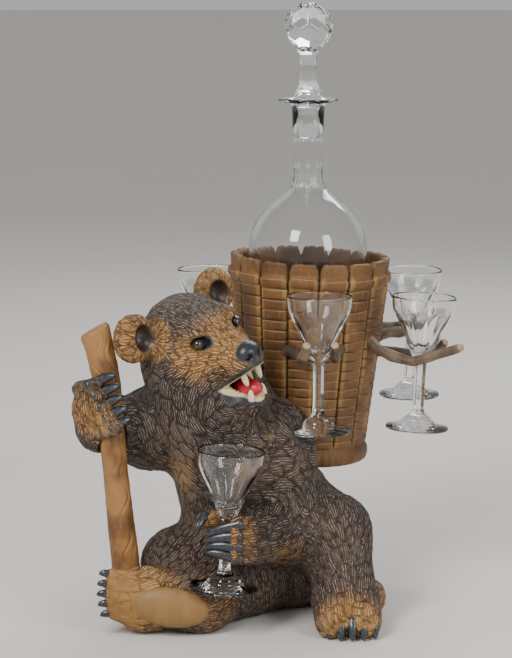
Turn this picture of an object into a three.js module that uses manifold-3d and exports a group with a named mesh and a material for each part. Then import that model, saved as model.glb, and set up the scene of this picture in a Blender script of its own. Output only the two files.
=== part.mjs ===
// Carved bear decanter stand: a seated bear with a wicker basket on its back, a staff in one
// paw and a glass in the other, five more glasses on twigs around the basket, and a decanter.
// Millimetres. +X is the viewer's right, +Y goes away from the viewer and +Z is up.
// The ground is z = 0, and the origin lies under the bear, in the middle of its flat seat.

import * as THREE from 'three';
import { mergeVertices } from 'three/addons/utils/BufferGeometryUtils.js';
import Module from 'manifold-3d';

const wasm = await Module();
wasm.setup();

const DEG = Math.PI / 180;
const point = (x, y, z) => new THREE.Vector3(x, y, z);

// Driving dimensions
const GAP = 0.35;

const bearMesh = { step: 3.5, triangles: 2900, coarse: 17 };

const basket = {
  foot: point(39, 88, 108.7),
  lean: 2.1 * DEG,
  height: 170,
  ledgeHeight: 15,
  ledgeRadius: 54.5,
  bottomRadius: 52.5,
  topRadius: 67.5,
  wall: 8,
  floor: 12,
  staves: 16,
  groove: 1.6,
  notch: 8,
};

const decanter = { x: 43.2, y: 88, lipTop: 409.5, wall: 2.5, base: 6, sides: 16 };

const glass = {
  height: 110,
  rimRadius: 26.3,
  footRadius: 26,
  stemRadius: 4.6,
  stemStart: 13,
  bowlStart: 60,
  bowlRadius: 8,
  wall: 1.6,
  sides: 8,
};

const staff = { radius: 10.4, sides: 10 };

const twig = { rootRadius: 4.8, endRadius: 3.6, sides: 6, steps: 5 };

const eye = { radius: 4.9, forward: 33.5, apart: 21.5, up: 5.5 };

// Head: where its middle is and how it is turned
const head = { centre: point(-53, -18, 227.5), yaw: 45 * DEG, pitch: 2.6 * DEG, roll: 18 * DEG };

// The head's own directions: along the snout, to the bear's left and to the crown
function headAxes() {
  const forward = point(
    Math.sin(head.yaw) * Math.cos(head.pitch),
    -Math.cos(head.yaw) * Math.cos(head.pitch),
    Math.sin(head.pitch),
  );
  const level = point(Math.cos(head.yaw), Math.sin(head.yaw), 0);
  const upright = forward.clone().cross(level);
  const left = level.multiplyScalar(Math.cos(head.roll)).addScaledVector(upright, Math.sin(head.roll));
  return [forward, left, forward.clone().cross(left)];
}

const worldFrame = [point(1, 0, 0), point(0, 1, 0), point(0, 0, 1)];
const headFrame = headAxes();

function onHead(forward, left, up) {
  return head.centre
    .clone()
    .addScaledVector(headFrame[0], forward)
    .addScaledVector(headFrame[1], left)
    .addScaledVector(headFrame[2], up);
}

function mix(a, b, t) {
  return a + (b - a) * t;
}

// Glasses: the middle of each foot's underside and of each rim, as [name, foot, rim]
const glassPlaces = [
  ['paw', point(-25.2, -80, 38.8), point(-18.9, -80, 149.2)],
  ['front', point(49.5, -14, 149.7), point(50.2, -14, 260.1)],
  ['right_front', point(132.5, 42, 141.2), point(137.7, 42, 250.3)],
  ['right_back', point(132.5, 138, 151), point(133.1, 135, 261)],
  ['back', point(50.5, 192, 148.3), point(51, 192, 258.3)],
  ['left_back', point(-41, 150, 150), point(-41.5, 150, 260.1)],
];

// Staff: its middle line from the ground to the cut top
const staffLine = [
  point(-102, -32.5, -3),
  point(-103.5, -40, 46),
  point(-107, -45, 85),
  point(-112, -46, 141),
  point(-116, -45, 189),
  point(-121, -45, 217),
  point(-126.3, -45, 240),
];

// The carving is a field: negative in the wood, zero on its surface, in about millimetres.
// Each piece is joined to what is there already with a fillet as wide as its blend.
const carving = [];

function smoothJoin(a, b, blend) {
  const h = Math.max(blend - Math.abs(a - b), 0) / blend;
  return Math.min(a, b) - h * h * blend * 0.25;
}

// Distance to a bone: a line from a to b, clothed in a radius that changes along it
function boneDistance(a, b, radiusA, radiusB) {
  const ab = b.clone().sub(a);
  const lengthSq = Math.max(ab.lengthSq(), 1e-6);
  return (x, y, z) => {
    const px = x - a.x;
    const py = y - a.y;
    const pz = z - a.z;
    const t = Math.min(Math.max((px * ab.x + py * ab.y + pz * ab.z) / lengthSq, 0), 1);
    const dx = px - ab.x * t;
    const dy = py - ab.y * t;
    const dz = pz - ab.z * t;
    return Math.sqrt(dx * dx + dy * dy + dz * dz) - mix(radiusA, radiusB, t);
  };
}

// Distance to an egg: a ball stretched by three radii along the frame's directions
function eggDistance(centre, radii, frame) {
  const [e, f, g] = frame;
  const [ru, rv, rw] = radii;
  return (x, y, z) => {
    const px = x - centre.x;
    const py = y - centre.y;
    const pz = z - centre.z;
    const u = (px * e.x + py * e.y + pz * e.z) / ru;
    const v = (px * f.x + py * f.y + pz * f.z) / rv;
    const w = (px * g.x + py * g.y + pz * g.z) / rw;
    const far = Math.sqrt(u * u + v * v + w * w);
    const slope = Math.sqrt((u / ru) ** 2 + (v / rv) ** 2 + (w / rw) ** 2);
    return (far * (far - 1)) / Math.max(slope, 1e-6);
  };
}

function bone(a, b, radiusA, radiusB, blend = 10) {
  carving.push({ distance: boneDistance(a, b, radiusA, radiusB), blend, cut: false });
}

function egg(centre, radii, blend = 10, frame = worldFrame) {
  carving.push({ distance: eggDistance(centre, radii, frame), blend, cut: false });
}

function hollow(centre, radii, blend = 3, frame = worldFrame) {
  carving.push({ distance: eggDistance(centre, radii, frame), blend, cut: true });
}

// Cuts away the space between two planes that meet in a line across the head. The line and an
// edge on each plane are given as [forward, up] of the head.
function wedge(corner, upper, lower, blend) {
  const [forward, , up] = headFrame;
  const facing = ([toForward, toUp], side) => {
    const run = point(toForward - corner[0], 0, toUp - corner[1]).normalize();
    return forward.clone().multiplyScalar(-run.z * side).addScaledVector(up, run.x * side);
  };
  const above = facing(upper, 1);
  const below = facing(lower, -1);
  const line = onHead(corner[0], 0, corner[1]);
  const distance = (x, y, z) => {
    const p = point(x, y, z).sub(line);
    return Math.max(p.dot(above), p.dot(below));
  };
  carving.push({ distance, blend, cut: true });
}

function fieldOf(pieces, x, y, z) {
  let d = 1e3;
  for (const piece of pieces) {
    const e = piece.distance(x, y, z);
    d = piece.cut ? -smoothJoin(-d, e, piece.blend) : smoothJoin(d, e, piece.blend);
  }
  return d;
}

// A strap is a flat band that stands proud of the body along a line of points
function strap(line, halfWidth, proud) {
  const under = [...carving];
  const stretches = line.slice(1).map((p, i) => boneDistance(line[i], p, halfWidth, halfWidth));
  const distance = (x, y, z) => {
    const aside = Math.min(...stretches.map((stretch) => stretch(x, y, z)));
    return aside > proud * 2 ? aside : Math.max(aside, fieldOf(under, x, y, z) - proud);
  };
  carving.push({ distance, blend: 1, cut: false });
}

// Claws and fangs are cones, kept apart from the field: { root, tip, radius }
const claws = [];
const fangs = [];

function carveTrunk() {
  const pelvis = point(12, 20, 50);
  const belly = point(-2, 8, 86);
  const chest = point(-13, 2, 124);
  const nape = point(-34, -2, 162);
  egg(pelvis, [62, 54, 56], 1);
  bone(belly, chest, 60, 52, 18);
  bone(chest, nape, 50, 46, 18);
  egg(point(22, 42, 26), [58, 40, 34], 16);
  bone(point(-38, -4, 168), point(-47, -10, 200), 45, 43, 16);
  bone(point(-30, -22, 166), point(-22, -34, 176), 30, 26, 14);
  egg(point(16, -2, 142), [28, 26, 26], 12);
}

function carveStraps() {
  const halfWidth = 8;
  const proud = 2.4;
  const left = [
    point(34, 26, 170),
    point(26, 0, 170),
    point(8, -36, 148),
    point(-14, -52, 122),
    point(-18, -58, 102),
    point(2, -60, 78),
    point(36, -34, 52),
    point(54, 6, 60),
    point(56, 22, 84),
    point(44, 34, 112),
  ];
  const right = [
    point(-58, 34, 176),
    point(-78, 8, 184),
    point(-86, -22, 160),
    point(-80, -28, 120),
  ];
  strap(left, halfWidth, proud);
  strap(right, halfWidth, proud);
}

function carveLeftLeg() {
  const hip = point(53, 14, 52);
  const knee = point(62, -34, 73);
  const ankle = point(71, -54, 28);
  bone(hip, knee, 43, 27, 20);
  bone(knee, ankle, 27, 24, 14);
  for (const side of [-1, 1]) {
    bone(point(71 + side * 8, -54, 18.5), point(72 + side * 12, -80, 12.5), 19, 14, 8);
  }
  egg(point(90, -12, 13), [15, 20, 15], 8);
  const toes = 5;
  for (let i = 0; i < toes; i += 1) {
    const side = i - (toes - 1) / 2;
    const x = 74.5 + side * 8.3;
    const y = -89 + side * side * 1.2;
    bone(point(x, y + 12, 17), point(x, y, 13.5), 6, 4.6, 3);
    claws.push({ root: point(x, y - 1, 14), tip: point(x + side * 0.8, y - 7, 1), radius: 3.9 });
  }
}

// The bare pad of the right foot's sole
const solePad = { middle: point(-66.5, -84, 25), radii: point(31, 9.5, 16), turn: 8 * DEG };

function makeSolePad() {
  const place = new THREE.Matrix4().makeRotationY(solePad.turn).setPosition(solePad.middle);
  return new THREE.SphereGeometry(1, 14, 6).scale(...solePad.radii.toArray()).applyMatrix4(place);
}

function carveRightLeg() {
  const hip = point(-12, 0, 44);
  const knee = point(-63, -20, 43);
  const heel = point(-44, -60, 22);
  bone(hip, knee, 42, 27, 16);
  bone(knee, heel, 25, 20, 14);
  bone(point(-14, -20, 28), heel, 30, 21, 14);
  bone(heel, point(-84, -66, 27), 21, 22, 12);
  egg(point(-88, -70, 27), [24, 15, 26], 8);
  const toes = 5;
  for (let i = 0; i < toes; i += 1) {
    const root = point(-96, -79, 46 - i * 8.2);
    const tip = point(-110 - Math.sin((i + 1) * 0.55) * 4, -80, 50 - i * 7.8);
    bone(root, tip, 6.2, 4.8, 2.5);
    claws.push({ root: tip.clone().add(point(-1, -1, 0)), tip: tip.clone().add(point(-10, -2, 1 - i * 0.6)), radius: 3 });
  }
}

function carveRightArm() {
  const shoulder = point(-60, 16, 150);
  const elbow = point(-85, 4, 148);
  const wrist = point(-122, -36, 158);
  const palm = point(-127, -48, 174);
  bone(shoulder, elbow, 35, 32, 14);
  bone(elbow, wrist, 28, 19, 12);
  bone(wrist, palm, 18, 17, 8);
  const fingers = 5;
  for (let i = 0; i < fingers; i += 1) {
    const z = 195 - i * 8.6;
    const shift = i * 4.2;
    bone(point(-137 + shift * 0.4, -50, z - 4), point(-130 + shift, -60, z), 6.5, 5.5, 3);
    bone(point(-130 + shift, -60, z), point(-125 + shift, -62, z + 2), 5.5, 5, 2);
    claws.push({ root: point(-127 + shift, -62.5, z + 2), tip: point(-108 + shift * 0.7, -58, z + 9), radius: 3.8 });
  }
}

function carveLeftArm() {
  const shoulder = point(17, -8, 138);
  const elbow = point(23, -32, 73);
  const wrist = point(-4, -60, 76);
  const palm = point(-14, -73, 78);
  bone(shoulder, elbow, 29, 24, 12);
  bone(elbow, wrist, 24, 21, 10);
  bone(wrist, palm, 21, 17, 8);
  const fingers = 4;
  for (let i = 0; i < fingers; i += 1) {
    const z = 92 - i * 8.6;
    bone(point(-4, -86, z), point(-16, -92, z), 6, 5.4, 3);
    claws.push({ root: point(-16, -93.5, z), tip: point(-39.5, -91, 84 - i * 4.4), radius: 4 });
  }
  bone(point(-24, -68, 92), point(-40, -78, 93), 7, 6, 4);
  claws.push({ root: point(-40, -80, 96), tip: point(-46, -89, 88), radius: 3.4 });
}

function carveHead() {
  egg(onHead(-3, 0, -2), [38, 37, 36], 14, headFrame);
  for (const side of [-1, 1]) {
    egg(onHead(10, side * 20, -22), [24, 20, 24], 12, headFrame);
    egg(onHead(24, side * 17, 12), [13, 11, 9], 8, headFrame);
  }
  bone(onHead(12, 0, -12), onHead(46, 0, -20), 29, 18, 8);
  bone(onHead(24, 0, 0), onHead(54, 0, -11), 19, 13, 8);
  for (const side of [-1, 1]) {
    egg(onHead(57, side * 7, -18), [12, 8.5, 9], 4, headFrame);
  }
  bone(onHead(18, 0, -42), onHead(55, 0, -51), 18, 10, 6);
  carveMouth();
  egg(onHead(62, 0, -9.5), [10, 11.5, 9.5], 1.5, headFrame);
  for (const side of [-1, 1]) {
    egg(onHead(-10, side * 46, 18), [12, 19, 19.5], 5, headFrame);
    hollow(onHead(3, side * 43.5, 18), [14, 9.5, 11], 2, headFrame);
    hollow(onHead(eye.forward + 3, side * eye.apart, eye.up), [6, 7.5, 4.5], 3, headFrame);
  }
}

// The open mouth, the hollow behind its lips, the tongue that rises in it and four fangs
function carveMouth() {
  wedge([43, -34], [71, -20], [66, -50], 1);
  hollow(onHead(50, 0, -34), [20, 10, 12], 2, headFrame);
  egg(onHead(52, 0, -40), [15, 7.5, 7], 2, headFrame);
  for (const side of [-1, 1]) {
    fangs.push({ root: onHead(60, side * 8, -27), tip: onHead(61, side * 7.5, -35), radius: 2.4 });
    fangs.push({ root: onHead(60.5, side * 7, -46), tip: onHead(61.5, side * 6.5, -38.5), radius: 2.4 });
  }
}

carveTrunk();
carveLeftLeg();
carveRightLeg();
carveStraps();
carveRightArm();
carveLeftArm();
carveHead();

// Folds of fur run round the throat in rings about the chin, below the level of the eyes
const ruff = { centre: onHead(50, 0, -42), from: 42, to: 94, fold: 13, height: 1.3, top: -12, full: -30 };

function ruffHeight(x, y, z) {
  const { centre, from, to, fold, height, top, full } = ruff;
  const away = Math.hypot(x - centre.x, y - centre.y, z - centre.z);
  const level = point(x, y, z).sub(head.centre).dot(headFrame[2]);
  if (away < from || away > to || level > top) {
    return 0;
  }
  const edge = Math.min((away - from) / fold, (to - away) / fold, (top - level) / (top - full), 1);
  return height * edge * Math.sin(((away - from) / fold) * 2 * Math.PI);
}

function woodField(x, y, z) {
  return fieldOf(carving, x, y, z) - ruffHeight(x, y, z);
}

// Where the carving is fine: [middle, reach, edge length]
const fineSpots = [
  [onHead(58, 0, -28), 26, 2.9],
  [onHead(40, 0, -5), 52, 4.6],
  [onHead(-10, -46, 21), 24, 4.6],
  [onHead(-10, 46, 21), 24, 4.6],
  [point(-122, -56, 178), 34, 5],
  [point(-20, -86, 80), 32, 5],
  [point(72, -84, 14), 34, 5.4],
  [point(-92, -82, 28), 44, 5.4],
];

function edgeLengthAt(p) {
  let size = bearMesh.coarse;
  for (const [middle, reach, fine] of fineSpots) {
    const away = Math.hypot(p[0] - middle.x, p[1] - middle.y, p[2] - middle.z);
    const t = Math.min(Math.max((away - reach * 0.6) / (reach * 0.9), 0), 1);
    size = Math.min(size, mix(fine, bearMesh.coarse, t));
  }
  return size;
}

// The box of grid points that hold the carving, and the field's value at each. The points go
// in blocks, and a block whose middle is far from the surface takes one value throughout.
function sampleField(field, low, high, step) {
  const size = high.clone().sub(low).divideScalar(step).ceil().addScalar(1).toArray();
  const value = new Float64Array(size[0] * size[1] * size[2]);
  const at = (i, j, k) => [low.x + i * step, low.y + j * step, low.z + k * step];
  const place = (n) => at(n % size[0], Math.floor(n / size[0]) % size[1], Math.floor(n / (size[0] * size[1])));
  const block = 5;
  const far = block * step * 1.6;
  const blocks = size.map((count) => Math.ceil(count / block));
  for (let b = 0; b < blocks[0] * blocks[1] * blocks[2]; b += 1) {
    const [i0, j0, k0] = [b % blocks[0], Math.floor(b / blocks[0]) % blocks[1], Math.floor(b / (blocks[0] * blocks[1]))]
      .map((count) => count * block);
    const middle = field(...at(i0 + block / 2, j0 + block / 2, k0 + block / 2));
    for (let k = k0; k < Math.min(k0 + block, size[2]); k += 1) {
      for (let j = j0; j < Math.min(j0 + block, size[1]); j += 1) {
        for (let i = i0; i < Math.min(i0 + block, size[0]); i += 1) {
          value[i + size[0] * (j + size[1] * k)] = Math.abs(middle) > far ? middle : field(...at(i, j, k));
        }
      }
    }
  }
  return { size, value, place };
}

// Meshes the field: each grid cube is cut into six tetrahedra around one diagonal, and each
// tetrahedron with the surface in it gives one or two triangles that face out of the wood.
function meshField(grid) {
  const { size, value, place } = grid;
  const points = [];
  const triangles = [];
  const onEdge = new Map();
  const crossing = (inside, outside) => {
    const key = Math.min(inside, outside) * value.length + Math.max(inside, outside);
    if (!onEdge.has(key)) {
      const a = place(inside);
      const b = place(outside);
      const t = Math.min(Math.max(value[inside] / (value[inside] - value[outside]), 0.06), 0.94);
      onEdge.set(key, points.length);
      points.push(a.map((c, axis) => mix(c, b[axis], t)));
    }
    return onEdge.get(key);
  };
  const addTriangle = (corners, inside, outside) => {
    const [a, b, c] = corners.map((n) => new THREE.Vector3(...points[n]));
    const normal = b.sub(a).cross(c.sub(a));
    const from = new THREE.Vector3(...place(inside));
    const facing = new THREE.Vector3(...place(outside)).sub(from).dot(normal);
    triangles.push(facing > 0 ? corners : [corners[0], corners[2], corners[1]]);
  };
  const addTetrahedron = (corners) => {
    const inside = corners.filter((n) => value[n] < 0);
    const outside = corners.filter((n) => value[n] >= 0);
    if (inside.length === 1) {
      addTriangle(outside.map((n) => crossing(inside[0], n)), inside[0], outside[0]);
    } else if (inside.length === 3) {
      addTriangle(inside.map((n) => crossing(n, outside[0])), inside[0], outside[0]);
    } else if (inside.length === 2) {
      const [a, b] = inside;
      const [c, d] = outside;
      addTriangle([crossing(a, c), crossing(a, d), crossing(b, d)], a, c);
      addTriangle([crossing(a, c), crossing(b, d), crossing(b, c)], b, c);
    }
  };
  const walks = [[1, 3], [1, 5], [2, 3], [2, 6], [4, 5], [4, 6]];
  for (let n = 0; n < value.length; n += 1) {
    const i = n % size[0];
    const j = Math.floor(n / size[0]) % size[1];
    const k = Math.floor(n / (size[0] * size[1]));
    if (i < size[0] - 1 && j < size[1] - 1 && k < size[2] - 1) {
      const corner = (c) => n + (c & 1) + size[0] * (((c >> 1) & 1) + size[1] * (c >> 2));
      for (const [b, c] of walks) {
        addTetrahedron([corner(0), corner(b), corner(c), corner(7)]);
      }
    }
  }
  return { points, triangles };
}

// Moves a point straight onto the field's surface
function settle(field, p) {
  const probe = 0.4;
  let q = p;
  for (let round = 0; round < 3; round += 1) {
    const [x, y, z] = q;
    const d = field(x, y, z);
    const slope = [
      (field(x + probe, y, z) - field(x - probe, y, z)) / (2 * probe),
      (field(x, y + probe, z) - field(x, y - probe, z)) / (2 * probe),
      (field(x, y, z + probe) - field(x, y, z - probe)) / (2 * probe),
    ];
    const steep = Math.max(slope[0] ** 2 + slope[1] ** 2 + slope[2] ** 2, 0.25);
    q = q.map((c, axis) => c - (slope[axis] * d) / steep);
  }
  return q;
}

function normalOf(a, b, c) {
  const u = [b[0] - a[0], b[1] - a[1], b[2] - a[2]];
  const v = [c[0] - a[0], c[1] - a[1], c[2] - a[2]];
  const n = [u[1] * v[2] - u[2] * v[1], u[2] * v[0] - u[0] * v[2], u[0] * v[1] - u[1] * v[0]];
  const length = Math.max(Math.hypot(...n), 1e-9);
  return [n[0] / length, n[1] / length, n[2] / length];
}

// How far a triangle's middle may leave the surface, as a share of its wanted edge length
const STRAY = 0.1;

// Coarsens a mesh: short edges shrink to a point, shortest first against the wanted length,
// where the surface stays whole, no triangle turns over and none strays from the field.
function coarsen(mesh, field, wantedLength, budget) {
  const points = mesh.points.map((p) => settle(field, p));
  const triangles = mesh.triangles.map((t) => [...t]);
  const around = points.map(() => new Set());
  triangles.forEach((t, n) => t.forEach((v) => around[v].add(n)));
  let left = triangles.length;
  const ring = (v) => {
    const found = new Set();
    for (const n of around[v]) {
      triangles[n].forEach((w) => found.add(w));
    }
    found.delete(v);
    return found;
  };
  const staysUpright = (v, other, moved) => {
    for (const n of around[v]) {
      if (!triangles[n].includes(other)) {
        const before = normalOf(...triangles[n].map((w) => points[w]));
        const after = normalOf(...triangles[n].map((w) => (w === v ? moved : points[w])));
        if (before[0] * after[0] + before[1] * after[1] + before[2] * after[2] < 0.5) {
          return false;
        }
      }
    }
    return true;
  };
  const staysClose = (v, other, moved, allowed) => {
    for (const n of around[v]) {
      if (!triangles[n].includes(other)) {
        const [p, q, r] = triangles[n].map((w) => (w === v ? moved : points[w]));
        const away = field((p[0] + q[0] + r[0]) / 3, (p[1] + q[1] + r[1]) / 3, (p[2] + q[2] + r[2]) / 3);
        if (Math.abs(away) > allowed) {
          return false;
        }
      }
    }
    return true;
  };
  const shrink = (a, b, limit) => {
    const ringB = ring(b);
    const shared = [...ring(a)].filter((v) => ringB.has(v));
    if (shared.length !== 2) {
      return false;
    }
    const middle = settle(field, points[a].map((c, axis) => (c + points[b][axis]) / 2));
    const allowed = STRAY * limit * wantedLength(middle);
    if (!staysUpright(a, b, middle) || !staysUpright(b, a, middle)) {
      return false;
    }
    if (!staysClose(a, b, middle, allowed) || !staysClose(b, a, middle, allowed)) {
      return false;
    }
    points[a] = middle;
    for (const n of around[b]) {
      if (triangles[n].includes(a)) {
        triangles[n].forEach((v) => v !== b && around[v].delete(n));
        triangles[n] = null;
        left -= 1;
      } else {
        triangles[n] = triangles[n].map((v) => (v === b ? a : v));
        around[a].add(n);
      }
    }
    around[b].clear();
    return true;
  };
  for (let limit = 0.3; left > budget && limit < 6; limit *= 1.2) {
    const edges = new Map();
    for (const t of triangles.filter((corners) => corners)) {
      for (const [a, b] of [[t[0], t[1]], [t[1], t[2]], [t[2], t[0]]]) {
        if (a < b) {
          const length = Math.hypot(...points[a].map((c, axis) => c - points[b][axis]));
          const ratio = length / wantedLength(points[a]);
          if (ratio < limit) {
            edges.set(a * points.length + b, ratio);
          }
        }
      }
    }
    const touched = new Set();
    for (const [key] of [...edges].sort((p, q) => p[1] - q[1])) {
      const a = Math.floor(key / points.length);
      const b = key % points.length;
      if (left > budget && !touched.has(a) && !touched.has(b) && shrink(a, b, limit)) {
        touched.add(a);
        touched.add(b);
      }
    }
  }
  return { points, triangles: triangles.filter((t) => t) };
}

// Rings of points, each with as many points as the next, closed at both ends, make a mesh.
// A ring of one point is a pole.
function meshOfRings(rings) {
  const points = rings.flat();
  const starts = rings.map((_, i) => rings.slice(0, i).reduce((sum, ring) => sum + ring.length, 0));
  const triangles = [];
  for (let i = 0; i + 1 < rings.length; i += 1) {
    const [low, high] = [rings[i], rings[i + 1]];
    const sides = Math.max(low.length, high.length);
    for (let j = 0; j < sides; j += 1) {
      const next = (j + 1) % sides;
      const a = starts[i] + (j % low.length);
      const b = starts[i] + (next % low.length);
      const c = starts[i + 1] + (next % high.length);
      const d = starts[i + 1] + (j % high.length);
      if (low.length > 1) {
        triangles.push([a, b, c]);
      }
      if (high.length > 1) {
        triangles.push([a, c, d]);
      }
    }
  }
  return { points, triangles: triangles.filter((t) => new Set(t).size === 3) };
}

// Turns a profile of [radius, height] pairs about the z axis, from its pole at the bottom out
// and up to its last pole. Angles are where the sides stand, and shape may move each point.
function turned(profile, angles, shape = (p) => p) {
  return meshOfRings(
    profile.map(([radius, height]) => {
      if (radius === 0) {
        return [[0, 0, height]];
      }
      return angles.map((angle) => shape([radius * Math.cos(angle), radius * Math.sin(angle), height], angle, radius));
    }),
  );
}

function evenAngles(sides) {
  return Array.from({ length: sides }, (_, i) => ((i + 0.5) / sides) * 2 * Math.PI);
}

// A round rod along a smooth line: radiusAt gives its radius where t runs from 0 to 1
function rodAlong(line, radiusAt, sides, steps) {
  const curve = new THREE.CatmullRomCurve3(line);
  const frames = curve.computeFrenetFrames(steps, false);
  const rings = [];
  for (let i = 0; i <= steps; i += 1) {
    const t = i / steps;
    const middle = curve.getPointAt(t);
    const ring = evenAngles(sides).map((angle) => {
      const reach = radiusAt(t, angle);
      return middle
        .clone()
        .addScaledVector(frames.normals[i], Math.cos(angle) * reach)
        .addScaledVector(frames.binormals[i], Math.sin(angle) * reach)
        .toArray();
    });
    rings.push(ring);
  }
  const ends = [curve.getPointAt(0).toArray(), curve.getPointAt(1).toArray()];
  return meshOfRings([[ends[0]], ...rings, [ends[1]]]);
}

function moved(mesh, matrix) {
  const points = mesh.points.map((p) => new THREE.Vector3(...p).applyMatrix4(matrix).toArray());
  return { points, triangles: mesh.triangles };
}

// The turn and shift that stand a piece made on the z axis upright between two points
function standing(foot, top) {
  const up = top.clone().sub(foot).normalize();
  const turn = new THREE.Quaternion().setFromUnitVectors(point(0, 0, 1), up);
  return new THREE.Matrix4().compose(foot, turn, point(1, 1, 1));
}

function solidOf(mesh) {
  const used = new Map();
  const vertProperties = [];
  const triVerts = mesh.triangles.flat().map((v) => {
    if (!used.has(v)) {
      used.set(v, used.size);
      vertProperties.push(...mesh.points[v]);
    }
    return used.get(v);
  });
  return new wasm.Manifold(
    new wasm.Mesh({
      numProp: 3,
      vertProperties: new Float32Array(vertProperties),
      triVerts: new Uint32Array(triVerts),
    }),
  );
}

function solidOfGeometry(geometry) {
  const bare = geometry.clone();
  bare.deleteAttribute('normal');
  bare.deleteAttribute('uv');
  const merged = mergeVertices(bare);
  return new wasm.Manifold(
    new wasm.Mesh({
      numProp: 3,
      vertProperties: new Float32Array(merged.attributes.position.array),
      triVerts: new Uint32Array(merged.index.array),
    }),
  );
}

function geometryOf(solid) {
  const mesh = solid.getMesh();
  const geometry = new THREE.BufferGeometry();
  geometry.setAttribute('position', new THREE.BufferAttribute(mesh.vertProperties, 3));
  geometry.setIndex(new THREE.BufferAttribute(mesh.triVerts, 1));
  return geometry;
}

// Basket, made about its own axis with the underside of its foot ledge at z = 0
const basketPlace = new THREE.Matrix4()
  .makeTranslation(basket.foot)
  .multiply(new THREE.Matrix4().makeRotationY(basket.lean));

function basketRadius(height) {
  const t = (height - basket.ledgeHeight) / (basket.height - basket.ledgeHeight);
  return mix(basket.bottomRadius, basket.topRadius, t);
}

// Each stave is a flat face between two grooves
function staveAngles() {
  const shoulder = 0.17;
  const pitch = (2 * Math.PI) / basket.staves;
  const angles = [];
  for (let i = 0; i < basket.staves; i += 1) {
    angles.push((i + 0.25) * pitch, (i + 0.25 + shoulder) * pitch, (i + 1.25 - shoulder) * pitch);
  }
  return angles;
}

function makeBasket() {
  const { height, ledgeHeight, ledgeRadius, wall, floor, groove, notch, lean } = basket;
  const angles = staveAngles();
  const collar = height - 15;
  const inner = (z) => basketRadius(z) - wall;
  const outerProfile = [
    [0, 0],
    [ledgeRadius - 4, 0],
    [ledgeRadius, 4],
    [ledgeRadius, ledgeHeight - 3],
    [basketRadius(ledgeHeight) - 1, ledgeHeight],
    [basketRadius(collar) + 1.8, collar],
    [basketRadius(collar), collar + 4],
    [basketRadius(height) - 1, height],
  ];
  const innerProfile = [
    [inner(height) + 1.5, height],
    [inner(collar), collar],
    [inner(floor), floor],
    [0, floor],
  ];
  const shape = ([x, y, z], angle, radius) => {
    const isGroove = angles.indexOf(angle) % 3 === 0;
    const outside = radius > inner(z) + wall / 2;
    const carved = z >= ledgeHeight && outside && isGroove ? 1 - groove / radius : 1;
    const low = z === height && isGroove ? notch : 0;
    const level = z === floor ? x * Math.tan(lean) : 0;
    return [x * carved, y * carved, z - low + level];
  };
  return moved(turned([...outerProfile, ...innerProfile], angles, shape), basketPlace);
}

// The space that the basket fills, for what meets it from outside
function basketEnvelope() {
  const sides = 24;
  const flats = 1 / Math.cos(Math.PI / sides);
  const out = (radius) => (radius + GAP) * flats;
  const profile = [
    [0, -GAP],
    [out(basket.ledgeRadius), -GAP],
    [out(basket.ledgeRadius), basket.ledgeHeight - 3 + GAP],
    [out(basketRadius(basket.ledgeHeight)), basket.ledgeHeight + GAP],
    [out(basketRadius(basket.height) + 2), basket.height],
    [0, basket.height],
  ];
  return moved(turned(profile, evenAngles(sides)), basketPlace);
}

const basketFloorHeight = basket.foot.z + basket.floor * Math.cos(basket.lean);

// Decanter: a tapered body, a round shoulder, a slim neck and a flat lip, hollow throughout
const mouth = { topRadius: 11.7, bottomRadius: 9.7, depth: 32 };

function makeDecanter() {
  const bottom = basketFloorHeight + GAP;
  const { lipTop, wall, base } = decanter;
  const body = [
    [38, bottom + 5],
    [44.6, 195],
    [49.2, 262],
    [49.4, 284],
    [46.6, 300],
    [39, 313.5],
    [20, 331],
  ];
  const neck = [
    [13.4, 341],
    [12.4, 352],
    [13.4, lipTop - 4],
  ];
  const outside = [[0, bottom], [34, bottom], ...body, ...neck, [25, lipTop - 2.6], [25, lipTop]];
  const inside = [
    [mouth.topRadius, lipTop],
    [mouth.bottomRadius, lipTop - mouth.depth],
    [10.2, 345],
    ...body
      .slice()
      .reverse()
      .map(([r, z]) => [r - wall, Math.max(z - 0.5, bottom + base)]),
    [0, bottom + base],
  ];
  return turned([...outside, ...inside], evenAngles(decanter.sides));
}

// Stopper: a ground plug in the decanter's mouth, a waisted neck and a ball cut in facets
const stopper = { ballRadius: 20.4, ballCentre: 468.2, collar: 12, waist: 7.3 };

function makeStopper() {
  const top = decanter.lipTop;
  const { ballRadius, ballCentre, collar, waist } = stopper;
  const fit = (radius) => radius - GAP;
  const ball = [-58, -30, 0, 30, 58].map((latitude) => [
    ballRadius * Math.cos(latitude * DEG),
    ballCentre + ballRadius * Math.sin(latitude * DEG),
  ]);
  const profile = [
    [0, top - mouth.depth],
    [fit(mouth.bottomRadius), top - mouth.depth],
    [fit(mouth.topRadius), top + GAP],
    [collar, top + GAP + 0.6],
    [collar, top + 4],
    [waist + 0.6, 424],
    [waist, 440],
    ...ball,
    [0, ballCentre + ballRadius],
  ];
  return turned(profile, evenAngles(8));
}

// Liqueur glass, made on its own foot: stepped foot, slim stem, panel-cut bowl
function glassProfile(grow) {
  const { height, rimRadius, footRadius, stemRadius, stemStart, bowlStart, bowlRadius } = glass;
  return [
    [0, -grow],
    [footRadius + grow, -grow],
    [footRadius + grow, 1.8 + grow],
    [15.5 + grow, 3 + grow],
    [12 + grow, 7.5 + grow],
    [stemRadius + grow, stemStart + 1 + grow],
    [stemRadius + grow, bowlStart - 3 - grow],
    [bowlRadius + grow, bowlStart - grow],
    [18.8 + grow, 84.5],
    [25.3 + grow, 100],
    [rimRadius + grow, height],
  ];
}

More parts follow.
